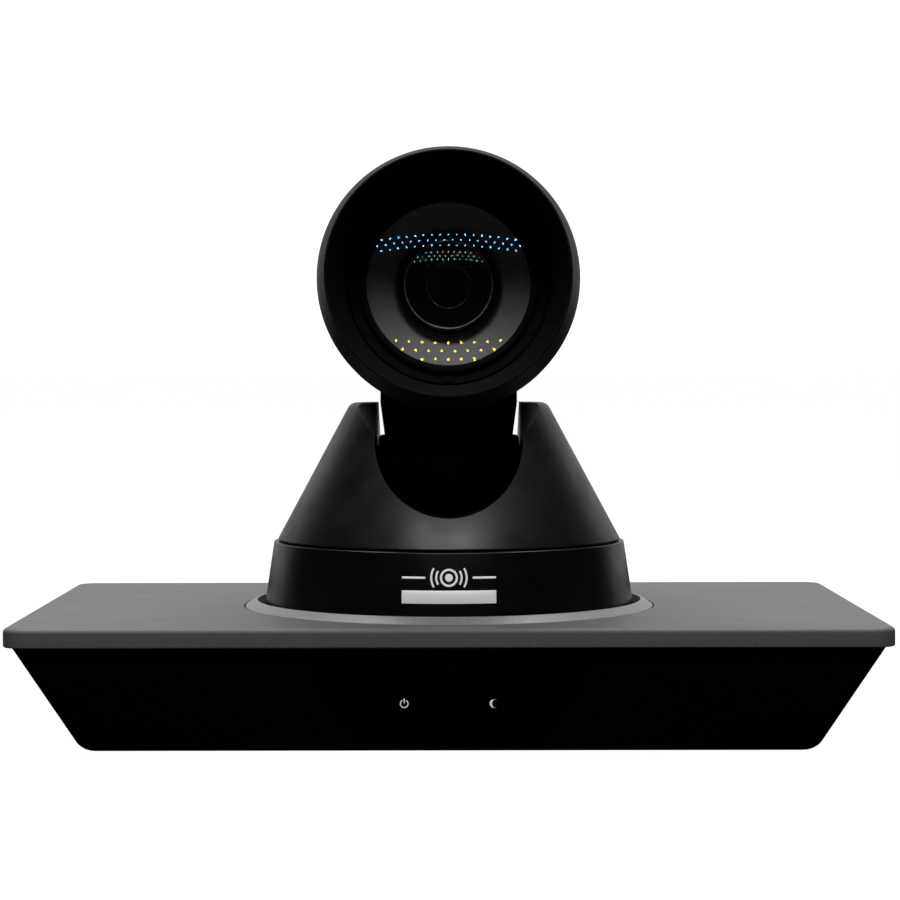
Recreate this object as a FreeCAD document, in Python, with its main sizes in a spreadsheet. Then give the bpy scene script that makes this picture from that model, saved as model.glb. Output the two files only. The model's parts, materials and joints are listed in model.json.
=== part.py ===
"""Pan-tilt-zoom conference camera, as an assembly of separate sub-parts.

Millimetres, +Z up.  The camera looks along -Y.  The origin is on the ground under the pan axis,
which is also the middle of the wide top plate.  The head is drawn level and then tipped back by
rest_tilt about the tilt axis.  Each sub-part goes to parts/NAME.step.
"""

import FreeCAD, Part
import math
import os

import Sketcher

V = FreeCAD.Vector
TOUCH = 1e-4

doc = FreeCAD.newDocument("PtzCamera")

# ---------------------------------------------------------------------------------------------
# Driving dimensions
# ---------------------------------------------------------------------------------------------

SIZES = [
    ("overall_width", 242.5, "top plate, along X"),
    ("overall_depth", 144.0, "top plate, along Y"),
    ("foot_height", 1.0, "rubber feet below the body"),
    ("plate_low", 30.3, "underside of the top plate"),
    ("plate_thick", 5.2, "top plate"),
    ("plate_corner", 6.0, "corner radius of the plate"),
    ("plate_edge", 1.2, "rounding of its upper edge"),
    ("well_radius", 56.5, "hole in the plate for the yoke"),
    ("groove_radius", 61.0, "shadow groove round the collar"),
    ("collar_radius", 60.6, "foot of the sloping collar"),
    ("collar_lip", 56.5, "upper edge of the collar's slope"),
    ("collar_bore", 55.9, "inside of the collar"),
    ("collar_top", 37.3, "height of the collar's lip"),
    ("collar_low", 33.5, "floor of the collar's groove"),
    ("body_top_half", 119.3, "half width of the body under the plate"),
    ("body_foot_half", 101.1, "half width of the body at its foot"),
    ("body_top_front", 70.0, "front of the body under the plate, from the pan axis"),
    ("body_foot_front", 63.8, "front of the body at its foot"),
    ("body_back", 66.0, "upright rear wall"),
    ("body_round", 4.0, "rounding of the slanted corners and the lower edge"),
    ("wall", 2.5, "moulded walls"),
    ("cover_thick", 2.0, "bottom cover"),
    ("fit_gap", 0.2, "gap between parts that lie in one another"),
    ("window_radius", 39.0, "round infrared window"),
    ("window_centre", 35.0, "height of the window's centre"),
    ("window_low", 4.0, "flat lower edge of the window"),
    ("window_high", 29.8, "flat upper edge of the window"),
    ("guide_place", 12.2, "indicator light guides, from the middle"),
    ("guide_height", 14.6, "indicator light guides"),
    ("case_screw_x", 91.0, "case screws"),
    ("case_screw_front", 52.0, "front case screws"),
    ("case_screw_back", 57.0, "rear case screws"),
    ("foot_x", 80.0, "rubber feet"),
    ("foot_front", 43.0, "front feet"),
    ("foot_back", 48.0, "rear feet"),
    ("foot_radius", 7.0, "rubber feet"),
    ("screw_radius", 1.5, "M3 screws"),
    ("head_radius", 2.75, "M3 screw heads"),
    ("tripod_minor", 2.6, "tapped 1/4-20 thread, at its crests"),
    ("tripod_depth", 7.0, "depth of the tripod thread"),
    ("bracket_x", 37.5, "wall bracket screws, from the pan axis"),
    ("bracket_y", 25.0, "wall bracket screws"),
    ("bracket_minor", 1.65, "tapped M4 thread, at its crests"),
    ("board_low", 6.2, "underside of the main board"),
    ("board_thick", 1.6, "circuit boards"),
    ("panel_low", 5.0, "rear opening"),
    ("panel_high", 28.5, "rear opening"),
    ("panel_left", 75.0, "rear opening, on the -X side"),
    ("panel_right", 80.0, "rear opening, on the +X side"),
    ("rocker_place", 46.0, "middle of the power switch, along X"),
    ("rocker_height", 16.0, "middle of the power switch"),
    ("rocker_half", 5.0, "half width of the switch's button"),
    ("rocker_turn", 7.0, "degrees, the button tipped at rest"),
    ("shelf_low", 11.0, "shelf under the pan post"),
    ("shelf_thick", 2.0, "shelf under the pan post"),
    ("motor_shelf_top", 20.8, "shelf over the pan motor"),
    ("post_radius", 8.0, "hollow pan post"),
    ("post_bore", 5.0, "cable way in the pan post"),
    ("race_inner", 9.8, "outside of the bearings' inner rings"),
    ("race_outer", 12.2, "inside of the bearings' outer rings"),
    ("hub_bore", 14.0, "hub over the bearings"),
    ("hub_radius", 18.0, "hub under the turntable"),
    ("bearing_low", 16.5, "lower bearing"),
    ("bearing_high", 26.5, "upper bearing"),
    ("bearing_wide", 4.5, "bearings along the axis"),
    ("ball_radius", 1.15, "bearing balls"),
    ("turntable_low", 31.5, "turntable"),
    ("turntable_top", 34.0, "turntable"),
    ("turntable_radius", 49.0, "turntable"),
    ("gear_module", 0.8, "pan gears"),
    ("gear_teeth", 90.0, "pan gear"),
    ("pinion_teeth", 15.0, "pan pinion"),
    ("gear_low", 22.0, "pan gear"),
    ("gear_thick", 4.0, "pan gear"),
    ("tooth_play", 0.16, "play between the pan gears at the pitch line"),
    ("pan_motor_radius", 15.0, "pan motor"),
    ("shaft_radius", 1.5, "motor shafts"),
    ("shaft_play", 0.05, "running clearance of shafts"),
    ("band_radius", 54.6, "yoke band at the collar's lip"),
    ("band_top_radius", 52.0, "yoke band at its top"),
    ("band_low", 34.0, "yoke band"),
    ("band_top", 54.6, "yoke band"),
    ("nameplate_height", 42.4, "middle of the nameplate"),
    ("nameplate_wide", 26.3, "nameplate"),
    ("nameplate_deep", 3.7, "nameplate"),
    ("seam", 0.4, "gap between the band and the cover"),
    ("cover_radius", 51.0, "foot of the cone cover"),
    ("cover_slope", 28.27, "degrees, the cone's side from upright"),
    ("arm_top", 95.6, "flat tops of the yoke's arms"),
    ("arm_round", 3.0, "rounding of the arms' outer corners"),
    ("arm_gap", 21.2, "half of the channel between the arms"),
    ("channel_height", 84.9, "centre of the channel's round floor"),
    ("facet_height", 102.6, "where the sloping facets would meet"),
    ("facet_slope", 31.0, "degrees, the facets from level"),
    ("tilt_height", 80.0, "tilt axis"),
    ("pocket_radius", 18.5, "pocket round the neck's drum"),
    ("rest_tilt", 2.4, "degrees, the head tipped back at rest"),
    ("drum_radius", 17.0, "neck's drum about the tilt axis"),
    ("neck_low_half", 18.7, "half width of the neck at the drum"),
    ("neck_top_half", 19.9, "half width of the neck under the barrel"),
    ("boss_radius", 6.0, "bosses round the tilt axle"),
    ("axle_radius", 3.0, "tilt axle"),
    ("axle_play", 0.05, "running clearance of the tilt axle"),
    ("frame_inside", 23.9, "inside of the tilt frame's uprights"),
    ("frame_thick", 1.5, "tilt frame"),
    ("tilt_motor_height", 47.0, "tilt motor's axis"),
    ("tilt_motor_radius", 10.0, "tilt motor"),
    ("pulley_radius", 8.0, "tilt pulley"),
    ("motor_pulley_radius", 3.2, "pulley of the tilt motor"),
    ("belt_inside", 26.5, "belt, along X"),
    ("belt_wide", 2.0, "belt"),
    ("belt_thick", 1.0, "belt"),
    ("optical_height", 128.8, "optical axis with the head level"),
    ("hood_front", -66.8, "front rim of the lens hood, along Y"),
    ("hood_mouth", 33.2, "inside of the hood at its rim"),
    ("hood_rim", 33.8, "outside of the hood at its rim"),
    ("hood_radius", 36.7, "hood at its widest"),
    ("hood_deep", 28.8, "visible depth of the hood"),
    ("barrel_radius", 34.5, "barrel behind the hood"),
    ("barrel_back", 22.0, "end of the barrel, along Y"),
    ("cap_back", 36.0, "back of the rear cap, along Y"),
    ("cap_round", 9.0, "rounding of the rear cap"),
    ("ledge_depth", 38.0, "lens carrier, behind the hood's rim"),
    ("ledge_bore", 23.6, "lens carrier, inside"),
    ("bezel_radius", 25.4, "bezel ring, outside"),
    ("glass_radius", 23.4, "front glass"),
    ("glass_sag", 2.6, "bulge of the front glass"),
    ("lens_radius", 14.9, "lens ring, outside"),
    ("lens_bore", 12.7, "lens ring, inside"),
    ("iris_radius", 6.2, "iris opening"),
    ("tube_radius", 17.0, "camera module's lens tube"),
    ("tube_bore", 15.2, "lens tube, inside"),
    ("tube_end", 81.0, "end of the lens tube, behind the hood's rim"),
]

sheet = doc.addObject("Spreadsheet::Sheet", "Sizes")
for row, (alias, value, note) in enumerate(SIZES, start=1):
    sheet.set(f"A{row}", alias)
    sheet.set(f"B{row}", str(value))
    sheet.setAlias(f"B{row}", alias)
    sheet.set(f"C{row}", note)
doc.recompute()


# ---------------------------------------------------------------------------------------------
# Sizes that remember their formula
# ---------------------------------------------------------------------------------------------


class Size:
    """A length or an angle, together with the sheet formula that it comes from."""

    def __init__(self, value, text):
        self.value = value
        self.text = text

    def __add__(self, other):
        return Size(self.value + number(other), f"({self.text} + {formula(other)})")

    def __radd__(self, other):
        return Size(number(other) + self.value, f"({formula(other)} + {self.text})")

    def __sub__(self, other):
        return Size(self.value - number(other), f"({self.text} - {formula(other)})")

    def __rsub__(self, other):
        return Size(number(other) - self.value, f"({formula(other)} - {self.text})")

    def __mul__(self, other):
        return Size(self.value * number(other), f"({self.text} * {formula(other)})")

    def __rmul__(self, other):
        return Size(number(other) * self.value, f"({formula(other)} * {self.text})")

    def __truediv__(self, other):
        return Size(self.value / number(other), f"({self.text} / {formula(other)})")

    def __rtruediv__(self, other):
        return Size(number(other) / self.value, f"({formula(other)} / {self.text})")

    def __neg__(self):
        return Size(-self.value, f"(-1 * {self.text})")


def number(size):
    return size.value if isinstance(size, Size) else float(size)


def formula(size):
    return size.text if isinstance(size, Size) else f"({float(size)})"


def tangent(degrees):
    return Size(math.tan(math.radians(number(degrees))), f"tan({formula(degrees)})")


def cosine(degrees):
    return Size(math.cos(math.radians(number(degrees))), f"cos({formula(degrees)})")


def sine(degrees):
    return Size(math.sin(math.radians(number(degrees))), f"sin({formula(degrees)})")


class Sheet:
    """The sheet's cells by name, each as a Size."""

    def __init__(self, rows):
        for name, cell, _ in rows:
            setattr(self, name, Size(cell, f"Sizes.{name}"))


S = Sheet(SIZES)


def bind(item, path, size):
    """Ties a property to the sheet, or sets it where the size is a plain number."""
    if isinstance(size, Size):
        item.setExpression(path, size.text)
    else:
        setattr(item, path, size)


def bind_place(item, path, corner):
    """Ties the position of a placement to the sheet."""
    for axis, size in zip("xyz", corner):
        if isinstance(size, Size):
            item.setExpression(f".{path}.Base.{axis}", size.text)


def point(corner):
    return V(*[number(size) for size in corner])


# ---------------------------------------------------------------------------------------------
# Part primitives and booleans
# ---------------------------------------------------------------------------------------------

TURN = {
    "X": FreeCAD.Rotation(V(0, 1, 0), 90),
    "Y": FreeCAD.Rotation(V(1, 0, 0), -90),
    "Z": FreeCAD.Rotation(),
}


def placed(item, corner, turn=FreeCAD.Rotation()):
    item.Placement = FreeCAD.Placement(point(corner), turn)
    bind_place(item, "Placement", corner)
    return item


def along(axis, start, at):
    """The point at `start` along an axis and `at` across it (the other two, in X, Y, Z order)."""
    first, second = at
    return {
        "X": (start, first, second),
        "Y": (first, start, second),
        "Z": (first, second, start),
    }[axis]


def box(xs, ys, zs):
    """A block between pairs of low and high coordinates."""
    item = doc.addObject("Part::Box", "Block")
    for path, (low, high) in zip(("Length", "Width", "Height"), (xs, ys, zs)):
        bind(item, path, high - low)
    return placed(item, (xs[0], ys[0], zs[0]))


def rod(axis, radius, span, at=(0, 0)):
    item = doc.addObject("Part::Cylinder", "Rod")
    bind(item, "Radius", radius)
    bind(item, "Height", span[1] - span[0])
    return placed(item, along(axis, span[0], at), TURN[axis])


def ball(radius, centre):
    item = doc.addObject("Part::Sphere", "Ball")
    bind(item, "Radius", radius)
    return placed(item, centre)


def fuse(*pieces):
    item = doc.addObject("Part::MultiFuse", "Fusion")
    item.Shapes = list(pieces)
    item.Refine = True
    return item


def common(first, second):
    item = doc.addObject("Part::Common", "Common")
    item.Base = first
    item.Tool = second
    return item


def cut(base, *tools):
    item = doc.addObject("Part::Cut", "Cut")
    item.Base = base
    item.Tool = tools[0] if len(tools) == 1 else fuse(*tools)
    return item


def group(*pieces):
    """Separate solids that are one sub-part, such as a set of screws."""
    item = doc.addObject("Part::Compound", "Group")
    item.Links = list(pieces)
    return item


def tube(axis, outer, inner, span, at=(0, 0)):
    return cut(rod(axis, outer, span, at), rod(axis, inner, span, at))


def screw(tip, seat, height, at):
    """An upright M3 screw from its tip to the seat under its head, the head up or down."""
    upward = number(height) > 0
    shank = (tip, seat) if upward else (seat, tip)
    head = (seat, seat + height) if upward else (seat + height, seat)
    return fuse(rod("Z", S.screw_radius, shank, at), rod("Z", S.head_radius, head, at))


# ---------------------------------------------------------------------------------------------
# PartDesign bodies
# ---------------------------------------------------------------------------------------------


def new_body(name):
    body = doc.addObject("PartDesign::Body", name)
    body.Label = name
    return body


def outline(body, plane, loops, offset=0.0, lift=0.0):
    """A sketch on one of the body's own planes.

    A loop is a list of (u, v) corners, or one ("circle", u, v, radius).  On XY, u and v are X and
    Y and the offset goes up; on XZ they are X and Z and the offset goes to -Y; on YZ they are Y
    and Z and the offset goes to +X.  The lift moves the sketch's own axes along v.
    """
    sketch = body.newObject("Sketcher::SketchObject", "Outline")
    base = [item for item in body.Origin.OriginFeatures if item.Role == f"{plane}_Plane"]
    sketch.AttachmentSupport = [(base[0], "")]
    sketch.MapMode = "FlatFace"
    shift = (0.0, lift, offset)
    sketch.AttachmentOffset = FreeCAD.Placement(point(shift), FreeCAD.Rotation())
    bind_place(sketch, "AttachmentOffset", shift)
    for loop in loops:
        if loop[0] == "circle":
            draw_circle(sketch, loop[1:3], loop[3])
        else:
            draw_corners(sketch, loop)
    return sketch


def constrain(sketch, kind, where, size):
    index = sketch.addConstraint(Sketcher.Constraint(kind, *where, number(size)))
    if isinstance(size, Size):
        sketch.setExpression(f"Constraints[{index}]", size.text)


def draw_circle(sketch, centre, radius):
    u, v = centre
    circle = Part.Circle(V(number(u), number(v), 0), V(0, 0, 1), number(radius))
    edge = sketch.addGeometry(circle, False)
    constrain(sketch, "DistanceX", (-1, 1, edge, 3), u)
    constrain(sketch, "DistanceY", (-1, 1, edge, 3), v)
    constrain(sketch, "Radius", (edge,), radius)


def draw_corners(sketch, corners):
    flat = [V(number(u), number(v), 0) for u, v in corners]
    edges = [
        sketch.addGeometry(Part.LineSegment(start, end), False)
        for start, end in zip(flat, flat[1:] + flat[:1])
    ]
    for edge, following in zip(edges, edges[1:] + edges[:1]):
        sketch.addConstraint(Sketcher.Constraint("Coincident", edge, 2, following, 1))
    for edge, (u, v) in zip(edges, corners):
        constrain(sketch, "DistanceX", (-1, 1, edge, 1), u)
        constrain(sketch, "DistanceY", (-1, 1, edge, 1), v)


def pad(body, plane, loops, low, high):
    """Fills an outline between two places along the plane's normal."""
    feature = body.newObject("PartDesign::Pad", "Pad")
    feature.Profile = outline(body, plane, loops, -high if plane == "XZ" else low)
    bind(feature, "Length", high - low)
    return feature


def pocket(body, plane, loops, low, high):
    """Cuts an outline away between two places along the plane's normal."""
    doc.recompute()
    before = body.Shape.Volume
    feature = body.newObject("PartDesign::Pocket", "Pocket")
    feature.Profile = outline(body, plane, loops, -low if plane == "XZ" else high)
    bind(feature, "Length", high - low)
    doc.recompute()
    if body.Shape.Volume > before - TOUCH:
        raise RuntimeError(f"a pocket in {body.Label} cuts nothing")
    return feature


def turned(name, axis, corners):
    """A turned body.  About "pan" its corners are (radius, Z); about "optical" they are
    (Y, radius); about "tilt" they are (X, radius)."""
    plane = "YZ" if axis == "optical" else "XZ"
    lift = {"pan": 0.0, "optical": S.optical_height, "tilt": S.tilt_height}[axis]
    body = new_body(name)
    sketch = outline(body, plane, [corners], 0.0, lift)
    feature = body.newObject("PartDesign::Revolution", "Revolution")
    feature.Profile = sketch
    feature.ReferenceAxis = (sketch, ["V_Axis" if axis == "pan" else "H_Axis"])
    feature.Angle = 360.0
    return body


def rounded(body, radius, *places):
    """Rounds the edges of the body that pass through these places."""
    doc.recompute()
    base = body.Tip
    vertices = [Part.Vertex(point(place)) for place in places]
    names = [
        f"Edge{index}"
        for index, edge in enumerate(base.Shape.Edges, start=1)
        if any(edge.distToShape(vertex)[0] < TOUCH for vertex in vertices)
    ]
    feature = body.newObject("PartDesign::Fillet", "Fillet")
    feature.Base = (base, names)
    bind(feature, "Radius", radius)
    return body


def repeat_round(body, feature, count):
    """Repeats a body's feature evenly round the pan axis."""
    pattern = body.newObject("PartDesign::PolarPattern", "Round")
    pattern.Originals = [feature]
    axis = [item for item in body.Origin.OriginFeatures if item.Role == "Z_Axis"]
    pattern.Axis = (axis[0], [""])
    pattern.Angle = 360.0
    pattern.Occurrences = count
    body.Tip = pattern


def repeat_row(body, feature, role, length, count):
    """Repeats a body's feature evenly along one of its axes."""
    pattern = body.newObject("PartDesign::LinearPattern", "Row")
    pattern.Originals = [feature]
    axis = [item for item in body.Origin.OriginFeatures if item.Role == role]
    pattern.Direction = (axis[0], [""])
    bind(pattern, "Length", length)
    pattern.Occurrences = count
    body.Tip = pattern


def rectangle(us, vs):
    return [(us[0], vs[0]), (us[1], vs[0]), (us[1], vs[1]), (us[0], vs[1])]


# ---------------------------------------------------------------------------------------------
# Sub-parts
# ---------------------------------------------------------------------------------------------

sub_parts = []


def keep(name, item):
    """Names a finished sub-part, which is then written to a file of that name."""
    item.Label = name
    sub_parts.append(item)
    return item


def tip_back(item, angle, centre_y, centre_z):
    """Turns a sub-part about an X axis, the front upwards."""
    item.Placement = FreeCAD.Placement(V(), FreeCAD.Rotation(V(-1, 0, 0), number(angle)))
    item.setExpression(".Placement.Rotation.Angle", formula(angle))
    y = centre_y - (cosine(angle) * centre_y + sine(angle) * centre_z)
    z = centre_z - (cosine(angle) * centre_z - sine(angle) * centre_y)
    item.setExpression(".Placement.Base.y", y.text)
    item.setExpression(".Placement.Base.z", z.text)


def keep_head(name, item):
    """Names a sub-part of the head, drawn level, and tips it back about the tilt axis."""
    tip_back(item, S.rest_tilt, Size(0.0, "0"), S.tilt_height)
    return keep(name, item)


def corners_of(x, front, back):
    """The four places (x, y) of a set that is mirrored left and right."""
    return [(side * x, y) for side in (-1, 1) for y in (-front, back)]


PLATE_TOP = S.plate_low + S.plate_thick
FOOT = S.foot_height
COVER_TOP = S.foot_height + S.cover_thick
BOARD_TOP = S.board_low + S.board_thick
CASE_SCREWS = corners_of(S.case_screw_x, S.case_screw_front, S.case_screw_back)
FEET = corners_of(S.foot_x, S.foot_front, S.foot_back)
BRACKET_HOLES = corners_of(S.bracket_x, S.bracket_y, S.bracket_y)
BOARD_SCREWS = corners_of(72.0, -30.0, 54.0)
SHELF_POSTS = corners_of(22.0, 15.0, 15.0)
FRAME_SCREWS = corners_of(20.0, 10.0, 10.0)


# ---- Base: the wide plate, the body under it and what closes it -------------------------------


def top_plate():
    half_x, half_y = S.overall_width / 2, S.overall_depth / 2
    body = new_body("base_top_plate")
    pad(body, "XY", [rectangle((-half_x, half_x), (-half_y, half_y))], S.plate_low, PLATE_TOP)
    upright = [(x, y, S.plate_low + S.plate_thick / 2) for x in (-half_x, half_x)
               for y in (-half_y, half_y)]
    rounded(body, S.plate_corner, *upright)
    rounded(body, S.plate_edge, (0, -half_y, PLATE_TOP), (0, half_y, PLATE_TOP),
            (-half_x, 0, PLATE_TOP), (half_x, 0, PLATE_TOP))
    pocket(body, "XY", [("circle", 0, 0, S.well_radius)], S.plate_low, PLATE_TOP)
    pocket(body, "XY", [("circle", 0, 0, S.groove_radius)], S.collar_low, PLATE_TOP)
    threads = [("circle", x, y, S.screw_radius) for x, y in CASE_SCREWS]
    pocket(body, "XY", threads, S.plate_low, PLATE_TOP - 1.0)
    keep("base_top_plate", body)


def collar():
    body = turned("collar_ring", "pan", [
        (S.collar_bore, S.collar_low),
        (S.collar_radius, S.collar_low),
        (S.collar_radius, PLATE_TOP),
        (S.collar_lip, S.collar_top),
        (S.collar_bore, S.collar_top),
    ])
    keep("collar_ring", body)


def tapered_form(name, inset):
    """The body's form, sloping at the sides and the front, or the space inside its walls."""
    foot, top = S.body_foot_half - inset, S.body_top_half - inset
    foot_front, top_front = S.body_foot_front - inset, S.body_top_front - inset
    body = new_body(name)
    sides = [(-foot, FOOT), (foot, FOOT), (top, S.plate_low), (-top, S.plate_low)]
    pad(body, "XZ", [sides], -top_front, S.body_back - inset)
    wedge = [(-top_front - 1.0, FOOT), (-foot_front, FOOT), (-top_front, S.plate_low),
             (-top_front - 1.0, S.plate_low)]
    pocket(body, "YZ", [wedge], -top - 1.0, top + 1.0)
    return body


def rear_opening(gap, ys):
    return box((gap - S.panel_left, S.panel_right - gap), ys, (S.panel_low + gap, S.panel_high - gap))


def window_form(gap):
    disc = rod("Y", S.window_radius - gap, (-80.0, -50.0), (0, S.window_centre))
    limits = box((-60.0, 60.0), (-80.0, -50.0), (S.window_low + gap, S.window_high - gap))
    return common(disc, limits)


def base_body():
    outer = tapered_form("body_outside", 0.0)
    middle = (FOOT + S.plate_low) / 2
    half = (S.body_foot_half + S.body_top_half) / 2
    front = (S.body_foot_front + S.body_top_front) / 2
    slanted = [(x, y, middle) for x in (-half, half) for y in (-front, S.body_back)]
    rounded(outer, S.body_round, *slanted, (0, -S.body_foot_front, FOOT), (0, S.body_back, FOOT),
            (-S.body_foot_half, 0, FOOT), (S.body_foot_half, 0, FOOT))
    inner = tapered_form("body_inside", S.wall)
    shell = cut(outer, inner)
    posts = []
    bores = []
    for x, y in CASE_SCREWS:
        side = 1 if number(x) > 0 else -1
        ribs = (x, x + 7.0) if side > 0 else (x - 7.0, x)
        posts.append(rod("Z", 4.0, (COVER_TOP, S.plate_low), (x, y)))
        posts.append(box(ribs, (y - 1.0, y + 1.0), (COVER_TOP, S.plate_low)))
        bores.append(rod("Z", S.screw_radius + 0.1, (COVER_TOP, S.plate_low), (x, y)))
    opened = cut(fuse(shell, *posts), *bores, window_form(0.0), rear_opening(0.0, (60.0, 70.0)))
    keep("base_body", opened)
    window = common(shell, window_form(S.fit_gap))
    keep("ir_window", window)


def bottom_cover():
    half = S.body_foot_half - S.wall - S.fit_gap
    front = S.body_foot_front - S.wall - S.fit_gap
    back = S.body_back - S.wall - S.fit_gap
    body = new_body("bottom_cover")
    pad(body, "XY", [rectangle((-half, half), (-front, back))], FOOT, COVER_TOP)
    for x, y in BOARD_SCREWS:
        pad(body, "XY", [("circle", x, y, 3.0)], COVER_TOP - 0.5, S.board_low)
    holes = [("circle", 0, 0, 6.0)]
    holes += [("circle", x, y, S.screw_radius + 0.1) for x, y in CASE_SCREWS]
    holes += [("circle", x, y, 2.05) for x, y in FEET]
    holes += [("circle", x, y, 3.5) for x, y in BRACKET_HOLES]
    holes += [("circle", x, y, S.screw_radius) for x, y in BOARD_SCREWS]
    pocket(body, "XY", holes, FOOT, S.board_low)
    sinks = [("circle", x, y, S.head_radius + 0.25) for x, y in CASE_SCREWS]
    pocket(body, "XY", sinks, FOOT, FOOT + 1.1)
    for start in (-64.0, 46.0):
        slot = pocket(body, "XY", [rectangle((start, start + 2.4), (-32.0, -8.0))], FOOT, COVER_TOP)
        repeat_row(body, slot, "X_Axis", 18.0, 4)
    keep("bottom_cover", body)


def fixings_of_base():
    feet = [fuse(rod("Z", S.foot_radius, (0.0, FOOT), at), rod("Z", 2.0, (0.0, COVER_TOP + 0.6), at))
            for at in FEET]
    keep("rubber_feet", group(*feet))
    case_screws = [screw(PLATE_TOP - 1.2, FOOT + 1.1, -1.0, at) for at in CASE_SCREWS]
    board_screws = [screw(COVER_TOP, BOARD_TOP, 1.6, at) for at in BOARD_SCREWS]
    keep("base_screws", group(*case_screws, *board_screws))
    top = FOOT + S.tripod_depth
    insert = fuse(rod("Z", 6.0, (FOOT, top + 1.0)), rod("Z", 8.5, (COVER_TOP, COVER_TOP + 1.5)))
    keep("tripod_insert", cut(insert, rod("Z", S.tripod_minor, (FOOT, top))))
    inserts = []
    for at in BRACKET_HOLES:
        outside = fuse(rod("Z", 3.5, (FOOT, S.board_low - 0.3), at),
                       rod("Z", 4.6, (COVER_TOP, COVER_TOP + 1.0), at))
        inserts.append(cut(outside, rod("Z", S.bracket_minor, (FOOT, S.board_low - 0.3), at)))
    keep("bracket_inserts", group(*inserts))


# ---- Base: boards, sockets and rear panel ------------------------------------------------------

SOCKET_BACK = S.body_back - 0.6
PANEL = (S.body_back - 2.8, S.body_back - 0.8)


def socket_block(x, width, height, depth):
    return ((x - width / 2, x + width / 2), (SOCKET_BACK - depth, SOCKET_BACK),
            (BOARD_TOP, BOARD_TOP + height))


def open_socket(x, width, height, depth, rim, tongue):
    """A box socket, open to the back, with a contact tongue in it."""
    xs, ys, zs = socket_block(x, width, height, depth)
    inside = box((xs[0] + rim, xs[1] - rim), (ys[0] + 2.0, ys[1]), (zs[0] + rim, zs[1] - rim))
    shell = cut(box(xs, ys, zs), inside)
    low, high = tongue
    blade = box((x - width / 4, x + width / 4), (ys[0] + 1.5, ys[1] - 4.0),
                (BOARD_TOP + low, BOARD_TOP + high))
    return fuse(shell, blade)


def round_socket(x, radius, pins, pin_ring):
    """A round socket in a block, its face filled by an insert with pin holes."""
    width = 2 * (radius + ROUND_MARGIN)
    xs, ys, zs = socket_block(x, width, width, 12.0)
    centre = BOARD_TOP + width / 2
    block = box(xs, (ys[0], ys[1] - 2.4), zs)
    collar_ring = rod("Y", radius + 0.6, (ys[0], SOCKET_BACK), (x, centre))
    holes = [tube("Y", radius, radius - 0.7, (SOCKET_BACK - 3.0, SOCKET_BACK), (x, centre))]
    for index in range(pins):
        angle = 2 * math.pi * index / pins
        at = (x + pin_ring * math.sin(angle), centre + pin_ring * math.cos(angle))
        holes.append(rod("Y", 0.6, (SOCKET_BACK - 5.0, SOCKET_BACK), at))
    return cut(fuse(block, collar_ring), *holes)


# Middle along X, width, height, depth, rim, and the contact tongue's lower and upper height
BOX_SOCKETS = {
    "lan_socket": (26.0, 16.0, 13.4, 16.0, 1.6, (8.6, 11.8)),
    "hdmi_socket": (6.0, 15.4, 6.4, 12.0, 0.6, (2.8, 3.6)),
    "usb_socket": (-12.0, 14.0, 6.8, 14.0, 0.6, (3.9, 5.4)),
}
# Middle along X, radius, number of pin holes, and the radius of their circle
ROUND_SOCKETS = ((-31.0, 4.4, 8, 2.7), (-47.0, 4.4, 8, 2.7), (-63.0, 2.6, 1, 0.0))
ROUND_MARGIN = 2.2
# Middle along X, width, and height of the power jack
JACK = (63.0, 12.0, 11.0)
# Low X, width, low Y, depth, and height of each chip
CHIPS = ((-34.0, 17.0, 28.0, 15.0, 1.8), (-8.0, 14.0, 27.0, 14.0, 1.4), (12.0, 10.0, 28.0, 12.0, 1.2),
         (34.0, 9.0, 30.0, 9.0, 4.0), (50.0, 12.0, 28.0, 12.0, 7.0))


def electronics():
    ys = (24.0, 60.0)
    board = box((-80.0, 78.0), ys, (S.board_low, BOARD_TOP))
    holes = [rod("Z", S.screw_radius + 0.1, (S.board_low, BOARD_TOP), at) for at in BOARD_SCREWS]
    keep("main_board", cut(board, *holes))
    chips = [box((x, x + wide), (y, y + deep), (BOARD_TOP, BOARD_TOP + tall))
             for x, wide, y, deep, tall in CHIPS]
    keep("board_chips", group(*chips))
    for name, sizes in BOX_SOCKETS.items():
        keep(name, open_socket(*sizes))
    keep("round_sockets", group(*[round_socket(*sizes) for sizes in ROUND_SOCKETS]))
    x, width, height = JACK
    centre = BOARD_TOP + 6.0
    jack = box((x - width / 2, x + width / 2), (SOCKET_BACK - 14.0, SOCKET_BACK),
               (BOARD_TOP, BOARD_TOP + height))
    well = rod("Y", 2.9, (SOCKET_BACK - 9.0, SOCKET_BACK), (x, centre))
    pin = rod("Y", 1.0, (SOCKET_BACK - 10.0, SOCKET_BACK - 1.0), (x, centre))
    keep("dc_jack", fuse(cut(jack, well), pin))


def rear_panel():
    panel = rear_opening(S.fit_gap, PANEL)
    gap = 0.3
    cuts = []
    for x, width, height in [sizes[:3] for sizes in BOX_SOCKETS.values()] + [JACK]:
        xs = (x - width / 2 - gap, x + width / 2 + gap)
        cuts.append(box(xs, PANEL, (BOARD_TOP - gap, BOARD_TOP + height + gap)))
    for x, radius, *_ in ROUND_SOCKETS:
        cuts.append(rod("Y", radius + 0.6 + gap, PANEL, (x, BOARD_TOP + radius + ROUND_MARGIN)))
    cuts.append(rocker_block(1.6, 7.2, PANEL))
    keep("rear_panel", cut(panel, *cuts))


def rocker_block(margin, half_height, ys):
    """A block round the rocker switch, wider than its button by a margin on each side."""
    low, high = S.rocker_place - S.rocker_half - margin, S.rocker_place + S.rocker_half + margin
    return box((low, high), ys, (S.rocker_height - half_height, S.rocker_height + half_height))


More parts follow.
